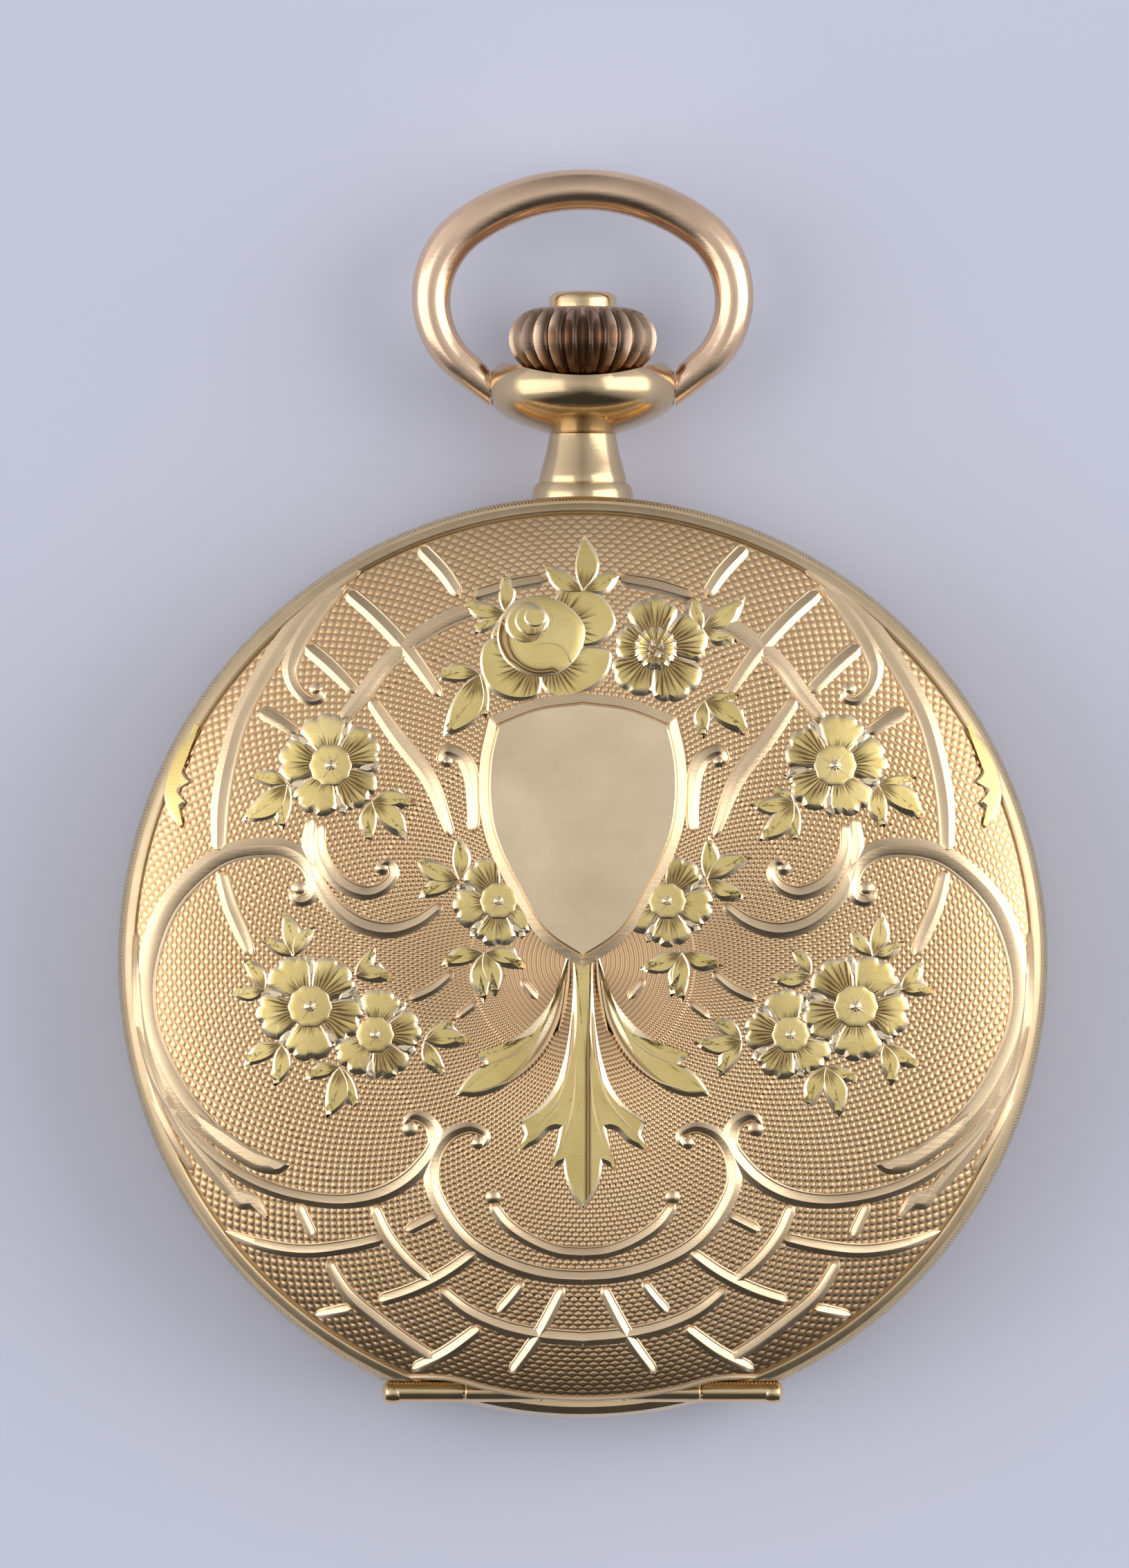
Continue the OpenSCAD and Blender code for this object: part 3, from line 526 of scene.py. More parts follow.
def petal(piece, centre, size, direction, core, half=34.5, lift=0.2, notch=0.10, reach=1.0):
    """One petal of a flower: a wedge with rounded shoulders and a notched end."""
    t = np.linspace(-1, 1, 33)
    shoulders = 0.72 + 0.28 * np.cos(t * math.pi / 2) ** 0.42
    dents = notch * np.exp(-np.abs((t - 0.15) / 0.08))
    dents = dents + notch * 0.7 * np.exp(-np.abs((t + 0.5) / 0.08))
    rim = polar(centre, size * (shoulders - dents), direction + half * t)
    base = polar(centre, core * 0.85, direction + half * np.linspace(0.96, -0.96, 7))
    bevel = np.concatenate([np.full(len(rim), 0.17), np.full(len(base), 0.03)])
    middle = polar(centre, size * 0.58, direction)
    plateau(piece, np.concatenate([rim, base]), lift=lift, bevel=bevel, crown=0.03,
            centre=middle, lines=fan(polar(centre, core * 0.3, direction), middle, size * reach))


LINE_REACH = (1.25, 0.75, 1.0, 0.65, 1.4)


def flower(piece, centre, size, turn, hidden=()):
    """Five petals, bright sepals between them, a scalloped centre with a star-shaped punch."""
    core = size * 0.39
    for i in range(5):
        if i not in hidden:
            petal(piece, centre, size, turn + 72 * i, core, lift=0.19 + 0.015 * (i % 2),
                  reach=LINE_REACH[i])
        between = turn + 72 * i + 36
        leaf(piece, polar(centre, size * 0.55, between), polar(centre, size * 1.0, between + 4),
             width=0.55, lift=0.17, slots=(1, 1))
    a = np.arange(40) * 9.0
    scallops = polar(centre, core * (1 + 0.035 * np.cos(np.radians(a * 10))), a)
    plateau(piece, scallops, lift=0.25, bevel=0.06, crown=0.03)
    star(piece, centre, core * 0.66)


def star(piece, centre, size):
    """Crossed cuts of a star punch: low ridges that run out from a small boss."""
    for i in range(4):
        a = 12.0 + 45 * i
        ends = [polar(centre, size * (1 if i % 2 else 0.72), a + 180 * k) for k in (0, 1)]
        steps = [ends[0] + (ends[1] - ends[0]) * s for s in (0, 0.3, 0.5, 0.7, 1)]
        wide = [0.12, 0.2, 0.28, 0.2, 0.12]
        ribbon(piece, [(*p, w) for p, w in zip(steps, wide)], 0, RIDGE, 1, lift=0.30,
               ends=(0, 0))
    plateau(piece, circle(centre, size * 0.42, 20), lift=0.34, bevel=0.1,
            crown=0.08, slots=(1, 1))


def leaf(piece, base, tip, width=0.42, bend=0.06, lift=0.19, slots=(0, 1)):
    """A pointed leaf from base to tip, with a polished facet along one side near the tip."""
    base, tip = np.array(base, float), np.array(tip, float)
    axis = tip - base
    side = np.array([-axis[1], axis[0]])
    t = np.linspace(0, 1, 15)
    half = width / 2 * np.sin(math.pi * t ** 0.9) ** 0.9
    middle = base + axis * t[:, None] + side * (bend * np.sin(math.pi * t))[:, None]
    outline = np.concatenate([middle + side * half[:, None],
                              (middle - side * half[:, None])[-2:0:-1]])
    facet = np.concatenate([t, 0.3 * t[-2:0:-1]])
    plateau(piece, outline, lift=lift, bevel=0.07 + 0.24 * facet ** 1.5, centre=middle[6],
            slots=slots, lines=fan(base, tip, 0.6 * math.dist(base, tip)))


def sprig(piece, base, *tips):
    """Leaves from one point, bent either way, with a narrow bright one behind every second."""
    for k, tip in enumerate(tips):
        bend = 0.07 if k % 2 else -0.07
        leaf(piece, base, tip, bend=bend, lift=0.18 + 0.02 * (k % 2))
        if k % 2:
            away = np.subtract(tip, base)
            beside = np.add(base, 0.72 * away + 0.2 * np.array([-away[1], away[0]]))
            leaf(piece, base, beside, width=0.28, bend=bend, lift=0.12, slots=(1, 1))


# Flowers of one side, mirrored on the other: centre, size, turn of the first petal, petals that
# lie under something else
SIDE_FLOWERS = [
    ((-14.6, -2.4), 2.95, 51, ()),
    ((-11.1, -3.9), 2.5, 8, (2,)),
    ((-13.5, 10.5), 2.85, 29, ()),
    ((-4.5, 3.25), 2.5, 120, (4,)),
]
# Sprigs of one side: where the leaves meet, then their tips
SIDE_SPRIGS = [
    ((-15.5, 0.3), (-16.0, 2.7), (-14.3, 1.9), (-17.2, 1.1)),
    ((-12.2, -0.7), (-11.1, 0.8), (-10.0, -0.9)),
    ((-17.0, -1.5), (-18.2, 0.2), (-18.9, -1.7)),
    ((-16.1, -4.4), (-18.2, -5.6), (-16.5, -6.7)),
    ((-13.0, -5.6), (-14.9, -6.3), (-13.7, -8.4), (-12.0, -7.9)),
    ((-8.5, -4.2), (-6.8, -3.0), (-5.9, -4.3), (-7.3, -6.2)),
    ((-15.8, 9.5), (-17.9, 9.9), (-18.3, 7.5), (-16.1, 7.0)),
    ((-11.3, 8.6), (-10.0, 9.2), (-8.9, 8.4), (-11.4, 6.3), (-9.4, 6.4)),
    ((-6.6, 4.4), (-6.7, 6.8), (-9.0, 5.6), (-8.8, 3.4)),
    ((-5.3, 0.5), (-7.6, -0.2), (-3.0, -0.4), (-5.3, -2.2), (-4.7, -1.9)),
]
TOP_SPRIGS = [
    ((0.0, 19.8), (0.05, 22.9), (-2.1, 21.3), (2.1, 21.0)),
    ((-4.2, 18.7), (-4.2, 20.9), (-6.5, 19.2), (-5.8, 17.5)),
    ((-5.5, 15.4), (-7.95, 15.2), (-7.5, 12.0), (-5.2, 12.9)),
    ((6.4, 17.8), (8.7, 19.5), (6.0, 19.6), (8.3, 17.1)),
    ((6.5, 14.0), (8.4, 14.3), (8.9, 12.0), (6.5, 11.9)),
]

flowers = Piece()
for centre, size, turn, hidden in SIDE_FLOWERS:
    for side in (1, -1):
        spin = turn if side > 0 else 180 - turn - 72 * 4
        skip = hidden if side > 0 else tuple(4 - i for i in hidden)
        flower(flowers, (centre[0] * side, centre[1]), size, spin, skip)
for base, *tips in SIDE_SPRIGS:
    for side in (1, -1):
        sprig(flowers, (base[0] * side, base[1]), *[(x * side, y) for x, y in tips])
for base, *tips in TOP_SPRIGS:
    sprig(flowers, base, *tips)

# The rose: outer petals with the points they spread from, the ball of inner petals, and the bud
# wound in its top
ROSE_PETALS = [
    ([(-1.2, 19.9), (0.1, 20.0), (1.2, 19.4), (1.75, 18.0), (1.2, 17.2), (0.0, 16.8),
      (-1.4, 17.6)], (-1.4, 18.0)),
    ([(-1.4, 16.3), (0.3, 16.9), (1.5, 16.6), (1.4, 15.6), (0.4, 14.5), (-1.7, 14.15),
      (-2.3, 15.0)], (-1.8, 16.2)),
    ([(-2.2, 15.3), (-4.3, 17.6), (-5.3, 17.0), (-5.5, 16.0), (-5.1, 14.7), (-3.9, 14.0),
      (-2.4, 14.2)], (-2.6, 16.0)),
    ([(-3.2, 17.0), (-4.4, 18.3), (-4.9, 17.6), (-4.6, 16.4)], (-3.0, 17.0)),
]


def closed_spline(points, step=0.15):
    points = list(points)
    around = spline(points[-2:] + points + points[:3], step)
    start = np.argmin(np.linalg.norm(around - np.array(points[0]), axis=1))
    later = around[start + 3:]
    stop = start + 3 + np.argmin(np.linalg.norm(later - np.array(points[0]), axis=1))
    return around[start:stop]


for outline, base in ROSE_PETALS:
    plateau(flowers, closed_spline(outline), lift=0.17, bevel=0.12,
            lines=fan(base, np.mean(outline, 0), 3.2))
BALL = [(-4.6, 17.3), (-4.0, 19.0), (-2.6, 19.6), (-1.0, 19.2), (0.1, 17.9), (-0.2, 16.4),
        (-1.4, 15.3), (-3.0, 15.3), (-4.2, 16.1)]
low_left = polar((-2.2, 17.4), 2.15, np.linspace(165, 285, 30))
plateau(flowers, closed_spline(BALL), lift=0.22, bevel=0.1, crown=0.12,
        lines=follow(low_left, 1.1))
# each winding of the bud lies higher and further to the upper right
for k, r in enumerate((1.22, 0.95, 0.66)):
    plateau(flowers, circle((-2.95 + 0.2 * k, 18.05 + 0.17 * k), r, 40),
            lift=0.34 + 0.05 * k, bevel=0.15, lines=fan((-2.6, 17.0), (-2.6, 18.0), 1.6))
for fold in ([(-2.7, 17.0), (-2.0, 17.05), (-1.2, 16.9), (-0.8, 16.5), (-0.6, 16.0)],
             [(-1.7, 18.7), (-1.55, 18.2), (-1.9, 17.8), (-2.4, 17.3), (-2.55, 16.9)]):
    ribbon(flowers, fold, 0.2, RIDGE, 1, lift=0.34)

# The narcissus: five broad petals round a toothed cup
CUP = (3.9, 16.75)
for direction, size in ((95, 2.8), (18, 2.85), (-57, 3.1), (-130, 2.8), (168, 2.2)):
    petal(flowers, CUP, size, direction, 1.2, half=38.0, notch=0.07, reach=1.25)
teeth = np.arange(72) * 5.0
plateau(flowers, polar(CUP, 1.14 + 0.05 * np.cos(np.radians(teeth * 18)), teeth), lift=0.38,
        bevel=0.17, crown=-0.2, lines=fan(CUP, (4.5, 17.5), 1.5))
for k in range(4):
    leaf(flowers, polar(CUP, 0.08, 40 + 90 * k), polar(CUP, 0.62, 20 + 90 * k), width=0.4,
         lift=0.3, slots=(1, 1))

# Acanthus under the shield: two side leaves and the long middle leaf
SIDE_LEAF = [(-0.85, 0.4), (-1.55, -1.8), (-2.6, -3.2), (-3.8, -4.2), (-4.9, -4.7), (-5.8, -4.9),
             (-5.2, -5.45), (-5.8, -5.8), (-6.5, -6.6), (-6.8, -7.15), (-5.6, -7.2), (-4.6, -6.9),
             (-3.4, -6.05), (-2.5, -5.0), (-1.75, -3.7), (-1.1, -2.2), (-0.5, 0.5)]
VEIN_X = 0.28                           # the middle leaf's vein is right of the axis
MIDDLE_LEAF = [(-0.5, 0.3), (-0.7, -3.5), (-1.1, -5.5), (-1.65, -6.9), (-2.5, -7.9), (-3.4, -8.5),
               (-3.1, -9.2), (-3.5, -10.15), (-2.5, -9.7), (-1.7, -9.0), (-1.25, -8.9),
               (-1.5, -10.2), (-1.75, -11.15), (-1.05, -10.7), (-0.95, -11.5), (-0.6, -12.4),
               (0.0, -13.3)]


def cornered(points, corners, step=0.15):
    """A smooth outline that keeps sharp corners at the given point numbers."""
    stops = [0, *corners, len(points) - 1]
    runs = [spline(points[a:b + 1], step)[:-1] for a, b in zip(stops, stops[1:])]
    return np.concatenate(runs + [np.array(points[-1:], float)])


def flank(outline, middle, spread):
    """Bevels that widen along the flanks of a leaf and narrow to its tips."""
    return 0.13 + 0.25 * np.exp(-((outline[:, 1] - middle) / spread) ** 2)


def beside_vein(plan):
    """Engraved lines beside the middle leaf's vein."""
    return np.column_stack([plan[:, 0] * 0.9, np.abs(plan[:, 0] - VEIN_X) / 0.34])


for outline in sides(cornered(SIDE_LEAF, (5, 6, 9))):
    outline = anticlockwise(outline)
    low_edge = outline[np.hypot(outline[:, 0], outline[:, 1] + 1.0) > 0.5]
    low_edge = low_edge[low_edge[:, 1] < -1.28 * np.abs(low_edge[:, 0]) + 1.0]
    plateau(flowers, outline, lift=0.18, bevel=flank(outline, -3.0, 1.8),
            centre=(math.copysign(2.2, outline[0, 0]), -3.7), lines=follow(low_edge, 0.6))
half_leaf = cornered(MIDDLE_LEAF, (5, 6, 7, 10, 12, 13))
whole = anticlockwise(np.concatenate([half_leaf, mirrored(half_leaf)[-2::-1]]))
plateau(flowers, whole, lift=0.22, bevel=flank(whole, -4.6, 2.8), centre=(VEIN_X, -6.5),
        lines=beside_vein)
ACANTHUS_CUTS = [
    [(-2.2, -3.7, 0.14), (-3.5, -4.8, 0.26), (-5.5, -5.6, 0.1)],
    [(-0.95, -1.0, 0.2), (-1.45, -3.3, 0.42), (-2.5, -5.1, 0.44), (-3.9, -6.3, 0.34),
     (-5.7, -6.9, 0.12)],
    [(-0.72, 0.3, 0.3), (-0.85, -1.4, 0.44), (-1.1, -2.8, 0.36), (-1.4, -4.0, 0.12)],
    [(-0.5, -2.6, 0.14), (-0.75, -5.4, 0.34), (-1.35, -7.4, 0.34), (-2.7, -9.0, 0.1)],
    [(-0.35, -5.0, 0.12), (-0.6, -8.0, 0.3), (-1.25, -10.3, 0.1)],
]
for cut in ACANTHUS_CUTS:
    for side in sides(cut):
        ribbon(flowers, side, 0, RIDGE, 1, lift=0.2)

flowers.build("cover_flowers", "front_cover", [GREEN, BRIGHT_CUT])

# Scrolls and trellis of one side, mirrored on the other: (x, y, width) along each band
SIDE_BANDS = [
    # trellis ribs above
    [(-8.8, 22.3, 0.7), (-7.4, 20.8, 0.7), (-6.6, 19.6, 0.6)],
    [(-12.7, 19.9, 0.7), (-11.3, 18.7, 0.75), (-9.5, 16.8, 0.75), (-7.6, 14.2, 0.5)],
    [(-14.9, 17.0, 0.7), (-13.6, 15.9, 0.75), (-12.1, 14.4, 0.6)],
    [(-11.4, 14.1, 0.6), (-10.0, 12.1, 0.75), (-8.3, 9.9, 0.75), (-7.0, 6.7, 0.45)],
    [(-17.4, 13.5, 0.7), (-16.4, 13.0, 0.7), (-15.2, 12.2, 0.5)],
    # arcs across the ribs
    [(-5.9, 19.55, 0.6), (-3.8, 20.15, 0.7), (-1.9, 20.5, 0.6)],
    [(-5.2, 19.1, 0.7), (-7.5, 18.2, 0.75), (-9.1, 17.2, 0.75), (-10.5, 16.0, 0.75),
     (-11.7, 14.4, 0.75), (-12.9, 12.9, 0.6)],
    [(-11.9, 21.1, 0.35), (-14.4, 19.3, 0.7), (-15.9, 17.4, 0.85), (-17.3, 15.2, 0.85),
     (-18.4, 13.0, 0.85), (-19.0, 10.9, 0.85), (-19.4, 8.7, 0.85), (-19.5, 5.9, 0.7)],
    [(-19.4, 4.9, 0.6), (-18.9, 3.0, 0.7), (-18.3, 1.6, 0.7), (-17.7, 0.3, 0.5)],
    # tendril that leaves the long arc
    [(-12.7, 20.2, 0.3), (-14.1, 18.9, 0.8), (-14.9, 17.8, 0.9), (-15.5, 16.6, 0.9),
     (-15.7, 15.5, 0.7), (-15.3, 14.5, 0.55), (-14.6, 14.0, 0.5), (-14.0, 14.2, 0.4),
     (-14.1, 14.7, 0.35)],
    # big C-scroll
    [(-15.6, 3.9, 0.45), (-15.3, 3.3, 0.5), (-14.7, 3.4, 0.6), (-14.4, 4.2, 0.7),
     (-14.7, 5.2, 0.8), (-15.6, 5.9, 0.85), (-17.3, 6.1, 0.9), (-19.2, 5.7, 0.9),
     (-20.8, 4.6, 0.95), (-22.2, 3.0, 1.0), (-23.1, 0.9, 1.0), (-23.5, -1.5, 1.0),
     (-23.2, -3.9, 1.0), (-22.4, -5.8, 1.0), (-21.3, -7.6, 1.0), (-20.0, -9.0, 0.9),
     (-18.6, -10.1, 0.5)],
    # S-scroll that comes in under it
    [(-24.0, -3.2, 0.3), (-23.1, -6.2, 0.5), (-21.6, -8.6, 0.6), (-19.6, -10.6, 0.65),
     (-17.4, -11.9, 0.65), (-15.1, -12.6, 0.65), (-12.6, -12.8, 0.7), (-10.5, -12.3, 0.75),
     (-8.7, -11.0, 0.75), (-7.85, -9.6, 0.75), (-8.2, -8.6, 0.65), (-9.1, -8.25, 0.5),
     (-9.6, -8.8, 0.3)],
    # rim scrolls below it
    [(-24.0, 1.6, 0.3), (-24.1, -1.5, 0.5), (-23.9, -4.4, 0.6), (-23.3, -6.9, 0.6),
     (-22.3, -9.1, 0.5), (-20.9, -11.3, 0.3)],
    [(-23.8, -0.4, 0.3), (-23.5, -3.4, 0.4), (-22.8, -6.4, 0.55), (-21.6, -8.8, 0.7),
     (-20.0, -10.9, 0.8), (-18.6, -12.6, 0.5)],
    # scrolls below the upper flower
    [(-14.5, 7.7, 0.5), (-14.7, 6.3, 0.6), (-14.3, 4.5, 0.65), (-13.2, 2.9, 0.7),
     (-11.9, 2.0, 0.75), (-10.4, 1.7, 0.75), (-8.9, 2.1, 0.65), (-7.5, 3.1, 0.5)],
    [(-14.0, 7.4, 0.5), (-14.1, 6.1, 0.65), (-13.6, 4.9, 0.7), (-12.6, 4.0, 0.7),
     (-11.4, 3.7, 0.65), (-10.5, 4.1, 0.55), (-10.1, 4.8, 0.5), (-10.4, 5.3, 0.45),
     (-10.9, 5.1, 0.4)],
    # scroll beside the shield
    [(-7.2, 10.5, 0.35), (-7.6, 10.8, 0.4), (-7.4, 11.3, 0.5), (-6.6, 11.1, 0.65),
     (-6.0, 10.1, 0.75), (-5.8, 8.6, 0.7), (-5.9, 6.9, 0.5)],
    # stems between the flowers
    [(-9.3, -2.0, 0.5), (-8.0, -1.4, 0.5), (-6.9, -0.5, 0.4)],
    [(-6.8, -3.0, 0.4), (-5.6, -2.1, 0.4)],
    [(-3.3, -0.9, 0.45), (-2.4, -2.0, 0.4)],
    # U-scroll at the foot, up to the middle
    [(-5.4, -9.9, 0.4), (-5.2, -9.3, 0.45), (-5.8, -8.9, 0.5), (-6.9, -9.1, 0.6),
     (-7.8, -10.1, 0.65), (-8.1, -11.6, 0.7), (-7.4, -13.4, 0.7), (-6.2, -14.9, 0.7),
     (-3.9, -16.2, 0.7), (-1.6, -16.8, 0.7), (0.0, -16.9, 0.7)],
    [(-4.9, -12.9, 0.5), (-4.2, -13.9, 0.6), (-2.8, -14.9, 0.6), (-1.2, -15.5, 0.6),
     (0.0, -15.6, 0.6)],
    # trellis below
    [(-19.2, -14.5, 0.3), (-17.2, -15.2, 0.6), (-15.1, -15.5, 0.65), (-12.4, -15.2, 0.65),
     (-10.7, -14.8, 0.6)],
    [(-9.5, -14.4, 0.55), (-7.7, -13.5, 0.5)],
    [(-14.4, -19.0, 0.45), (-12.4, -18.6, 0.6)],
    [(-11.0, -18.2, 0.6), (-9.2, -17.6, 0.65), (-7.4, -16.7, 0.65), (-5.7, -15.5, 0.6)],
    [(-9.2, -21.9, 0.5), (-7.4, -21.0, 0.65), (-5.5, -19.6, 0.6)],
    [(-4.6, -18.8, 0.5), (-3.8, -17.9, 0.5), (-3.2, -17.1, 0.45)],
    [(-3.9, -22.1, 0.5), (-2.6, -20.3, 0.6), (-1.05, -17.4, 0.5)],
    [(-15.3, -12.9, 0.5), (-14.4, -14.8, 0.5)],
    [(-13.7, -16.0, 0.5), (-12.6, -17.8, 0.6), (-11.0, -19.2, 0.65), (-9.4, -20.4, 0.65),
     (-8.0, -21.3, 0.6)],
    [(-11.2, -13.0, 0.5), (-10.5, -14.6, 0.6), (-9.4, -16.0, 0.6), (-8.1, -17.1, 0.55)],
    [(-7.7, -17.5, 0.55), (-6.2, -18.7, 0.65), (-4.4, -19.5, 0.65), (-2.2, -20.0, 0.7),
     (0.0, -20.2, 0.7)],
]
BAND_FOOT = 1.2                         # a band's foot over the width that stands out of it
LEFT_RIBBON = [(-u, h) for u, h in RIBBON[::-1]]
scrolls = Piece()
for band in SIDE_BANDS:
    band = [(x, y, width * BAND_FOOT) for x, y, width in band]
    reaches_middle = band[-1][0] == 0.0
    for side, section in zip(sides(band), (RIBBON, LEFT_RIBBON)):
        ribbon(scrolls, side, 0, section, ends=(0.35, 0 if reaches_middle else 0.35))
C_TIP = [(-20.9, -8.1), (-19.4, -8.9), (-17.9, -9.9), (-16.5, -10.55), (-15.7, -10.85),
         (-16.1, -11.3), (-17.1, -11.35), (-18.4, -10.75), (-19.6, -9.95), (-20.5, -9.1)]
LOW_TIP = [(-19.4, -11.3), (-18.6, -12.1), (-17.5, -12.5), (-16.9, -13.9), (-17.7, -13.3),
           (-18.4, -13.3), (-19.0, -12.5)]
for shape in (C_TIP, LOW_TIP):
    for outline in sides(closed_spline(shape, 0.12)):
        plateau(scrolls, outline, lift=0.19, bevel=0.16, slots=(0, 0))
RIM_LEAF = [(-20.7, 12.7), (-21.3, 11.2), (-21.5, 10.3), (-21.0, 9.6), (-21.5, 9.35),
            (-21.7, 9.1), (-21.2, 8.5), (-21.65, 8.15), (-21.5, 7.1), (-22.2, 7.9),
            (-22.5, 9.0), (-22.3, 10.3), (-21.7, 11.6)]
for outline in sides(cornered(RIM_LEAF + RIM_LEAF[:1], (3, 6, 8))):
    outline = anticlockwise(outline)
    plateau(scrolls, outline, lift=0.24, bevel=0.12,
            centre=(math.copysign(21.9, outline[0, 0]), 9.2), slots=(1, 0))
CURL_BOSSES = [(-9.25, -8.95, 0.42), (-5.6, -9.7, 0.34), (-15.2, 3.9, 0.42), (-10.75, 5.0, 0.36),
               (-14.3, 14.6, 0.36), (-7.3, 10.7, 0.34), (-4.8, -12.6, 0.40)]
for x, y, r in CURL_BOSSES:
    for side in (1, -1):
        plateau(scrolls, circle((x * side, y), r, 24), lift=0.12, bevel=0.12, crown=0.05,
                slots=(0, 0))
scrolls.build("cover_scrolls", "front_cover", [SCROLL, GREEN])

# The shield: a bevelled border, then a plain plate
PLATE_LIFT = 0.33                       # height of the plate above the ground
shield = Piece()
SHIELD_HALF = [(0.0, 14.4), (-2.5, 14.05), (-5.0, 13.1), (-5.5, 10.7), (-5.3, 7.0), (-3.9, 3.8),
               (-2.3, 1.25), (0.0, -0.35)]
half = cornered(SHIELD_HALF, (2,))
outer = anticlockwise(np.concatenate([half[:-1], mirrored(half)[::-1][:-1]]))
mid = np.array([0.0, 8.0])
rings = [(0.0, -0.05), (0.0, 0.21), (0.48, PLATE_LIFT), (0.54, 0.27), (0.64, PLATE_LIFT)]
to_mid = mid - outer
to_mid /= np.linalg.norm(to_mid, axis=1)[:, None]
shrink = to_mid / np.maximum((to_mid * inward(outer)).sum(1), 0.6)[:, None]
plan = [outer + shrink * inset for inset, _ in rings]
inner_plan = plan[-1]
levels = [1.0, 0.85, 0.6, 0.3, 0.1]
plan += [mid + (inner_plan - mid) * s for s in levels[1:]]
above = [h for _, h in rings] + [PLATE_LIFT + 0.02 * (1 - s) for s in levels[1:]]
verts = np.concatenate([np.column_stack([p, ground_z(p) + h]) for p, h in zip(plan, above)])
n = len(outer)
slots = [0] * (n * (len(rings) - 1)) + [1] * (n * (len(levels) - 1)) + [0, 1]
# the border's foot gets the painted shade
depth = np.repeat(np.array(above) > 0, n).astype(float)
shield.add(verts, capped(len(plan), n), slots, unlined(depth))
shield.build("cover_shield", "front_cover", [SCROLL, SHIELD])

# ---- The cover's ground and shell ----
WAVES = 236                             # waves round each engine-turned row
ROW = 0.25                              # spacing of the rows
SUB = 4                                 # mesh steps in each wave and row
RELIEF = 0.055
GROUND_R = 23.95


def hinge_limit(theta, inset=0.0, lip=LIP_R):
    """How far out the cover reaches at each angle: to its cut edge, or over the hinge."""
    down = np.minimum(np.sin(theta), -0.5)
    return np.where(np.sin(theta) < -0.5, np.maximum((CHORD_Y + inset) / down, lip - inset), 1e3)


def turned_ground(name, first_row, last_row):
    """Rows of barleycorn relief: neighbouring wavy cuts run half a wave apart."""
    columns = WAVES * SUB
    theta = whole_turn(columns)
    wave = np.cos(WAVES * theta)[None, :]
    steps = np.arange(first_row * SUB, last_row * SUB + 1)
    k, w = (steps // SUB)[:, None], (steps % SUB / SUB)[:, None]

    def cut(row):
        swing = 0.42 * ROW * np.clip((row * ROW - 3.2) / 5.5, 0, 1)
        return row * ROW + swing * wave * np.where(row % 2, 1, -1)

    low, high = cut(k), cut(k + 1)
    free = low + (high - low) * w
    r = np.minimum(free, np.minimum(GROUND_R, hinge_limit(theta, 0.2)[None, :]))
    swell = np.sin(math.pi * w) * np.clip((high - low) / (1.84 * ROW), 0.1, 1)
    plan = np.stack([r * np.cos(theta), r * np.sin(theta)], -1)
    verts = np.concatenate([plan, (ground_z(plan) + RELIEF * swell)[..., None]], -1)
    verts = verts.reshape(-1, 3)
    faces = quads(len(steps), columns)
    faces = faces[~(free > r).ravel()[faces].all(1)]
    used, faces = np.unique(faces, return_inverse=True)
    ground = Piece()
    # the cuts between the grains get the painted shade
    ground.add(verts[used], faces.reshape(-1, 4), 0, unlined(swell.ravel()[used]))
    return ground.build(name, "front_cover", [GROUND], sharp=180.0)


rows = int(GROUND_R / ROW) + 1
bounds = [1, *(int(rows * s) for s in (0.25, 0.5, 0.75)), rows]
for part, (first, last) in enumerate(zip(bounds, bounds[1:]), 1):
    turned_ground(f"cover_ground_{part}", first, last)

shell = Piece()
outer_r = np.linspace(0.02, GROUND_R + 0.02, 40)
outside = [(r, dome(r) - SINK - 0.03) for r in outer_r]
bead = [(24.02, -0.24), (24.08, -0.26), (24.14, -0.12), (24.24, -0.02), (24.42, 0.03), (24.6, 0.0)]
edge = [(24.74, 9.5), (24.86, 9.32), (24.95, 9.05), (CASE_R, 8.8), (CASE_R, 7.62),
        (CASE_R - 0.08, EDGE_Z + 0.02), (CASE_R - 0.2, EDGE_Z)]
rim = [(r, float(dome(r)) + d) for r, d in bead] + edge
inner_r = CASE_R - 1.1
inside = [(inner_r + 0.08, EDGE_Z), (inner_r, EDGE_Z + 0.1), (inner_r, RIM_Z)]
inside += [(r, float(dome(r, inner_r, DOME_RISE - SHEET - 0.05))) for r in
           np.linspace(inner_r - 0.02, 0.02, 40)]
profile = outside + rim + inside
columns = 360
r, z = np.array(profile).T
theta = whole_turn(columns)
first_edge = len(outside) + len(bead)
row = np.arange(len(profile))[:, None]
held = np.minimum(r[:, None], np.where(
    row < first_edge, hinge_limit(theta),
    np.where(row < len(outside) + len(rim), hinge_limit(theta, lip=0.0),
             hinge_limit(theta, 0.45, lip=0.0))))
verts = np.stack([held * np.cos(theta), held * np.sin(theta),
                  np.broadcast_to(z[:, None], held.shape)], -1).reshape(-1, 3)
row_of_face = np.repeat(np.arange(len(profile) - 1), columns)
slots = np.where((row_of_face >= len(outside) - 1) & (row_of_face < first_edge), 1, 0)
slots = np.where((row_of_face >= first_edge) & (row_of_face < first_edge + len(edge) - 1), 2,
                 slots)
shell.add(verts, [tuple(f) for f in quads(len(profile), columns)], [int(i) for i in slots])
shell.add(verts[:columns], [tuple(range(columns))[::-1]], 0)
shell.add(verts[-columns:], [tuple(range(columns))], 0)
# a bead along the cut edge
BEAD_END = HINGE_END + 0.6
half_lip = math.degrees(math.acos(-CHORD_Y / LIP_R))
lip_arc = polar((0, 0), LIP_R - 0.14, -90 + half_lip * np.linspace(-1, 1, 9))
bead_path = [(-BEAD_END, CHORD_Y + 0.14), *[tuple(p) for p in lip_arc],
             (BEAD_END, CHORD_Y + 0.14)]
ribbon(shell, bead_path, 0.3, slot=1, ends=(0, 0))


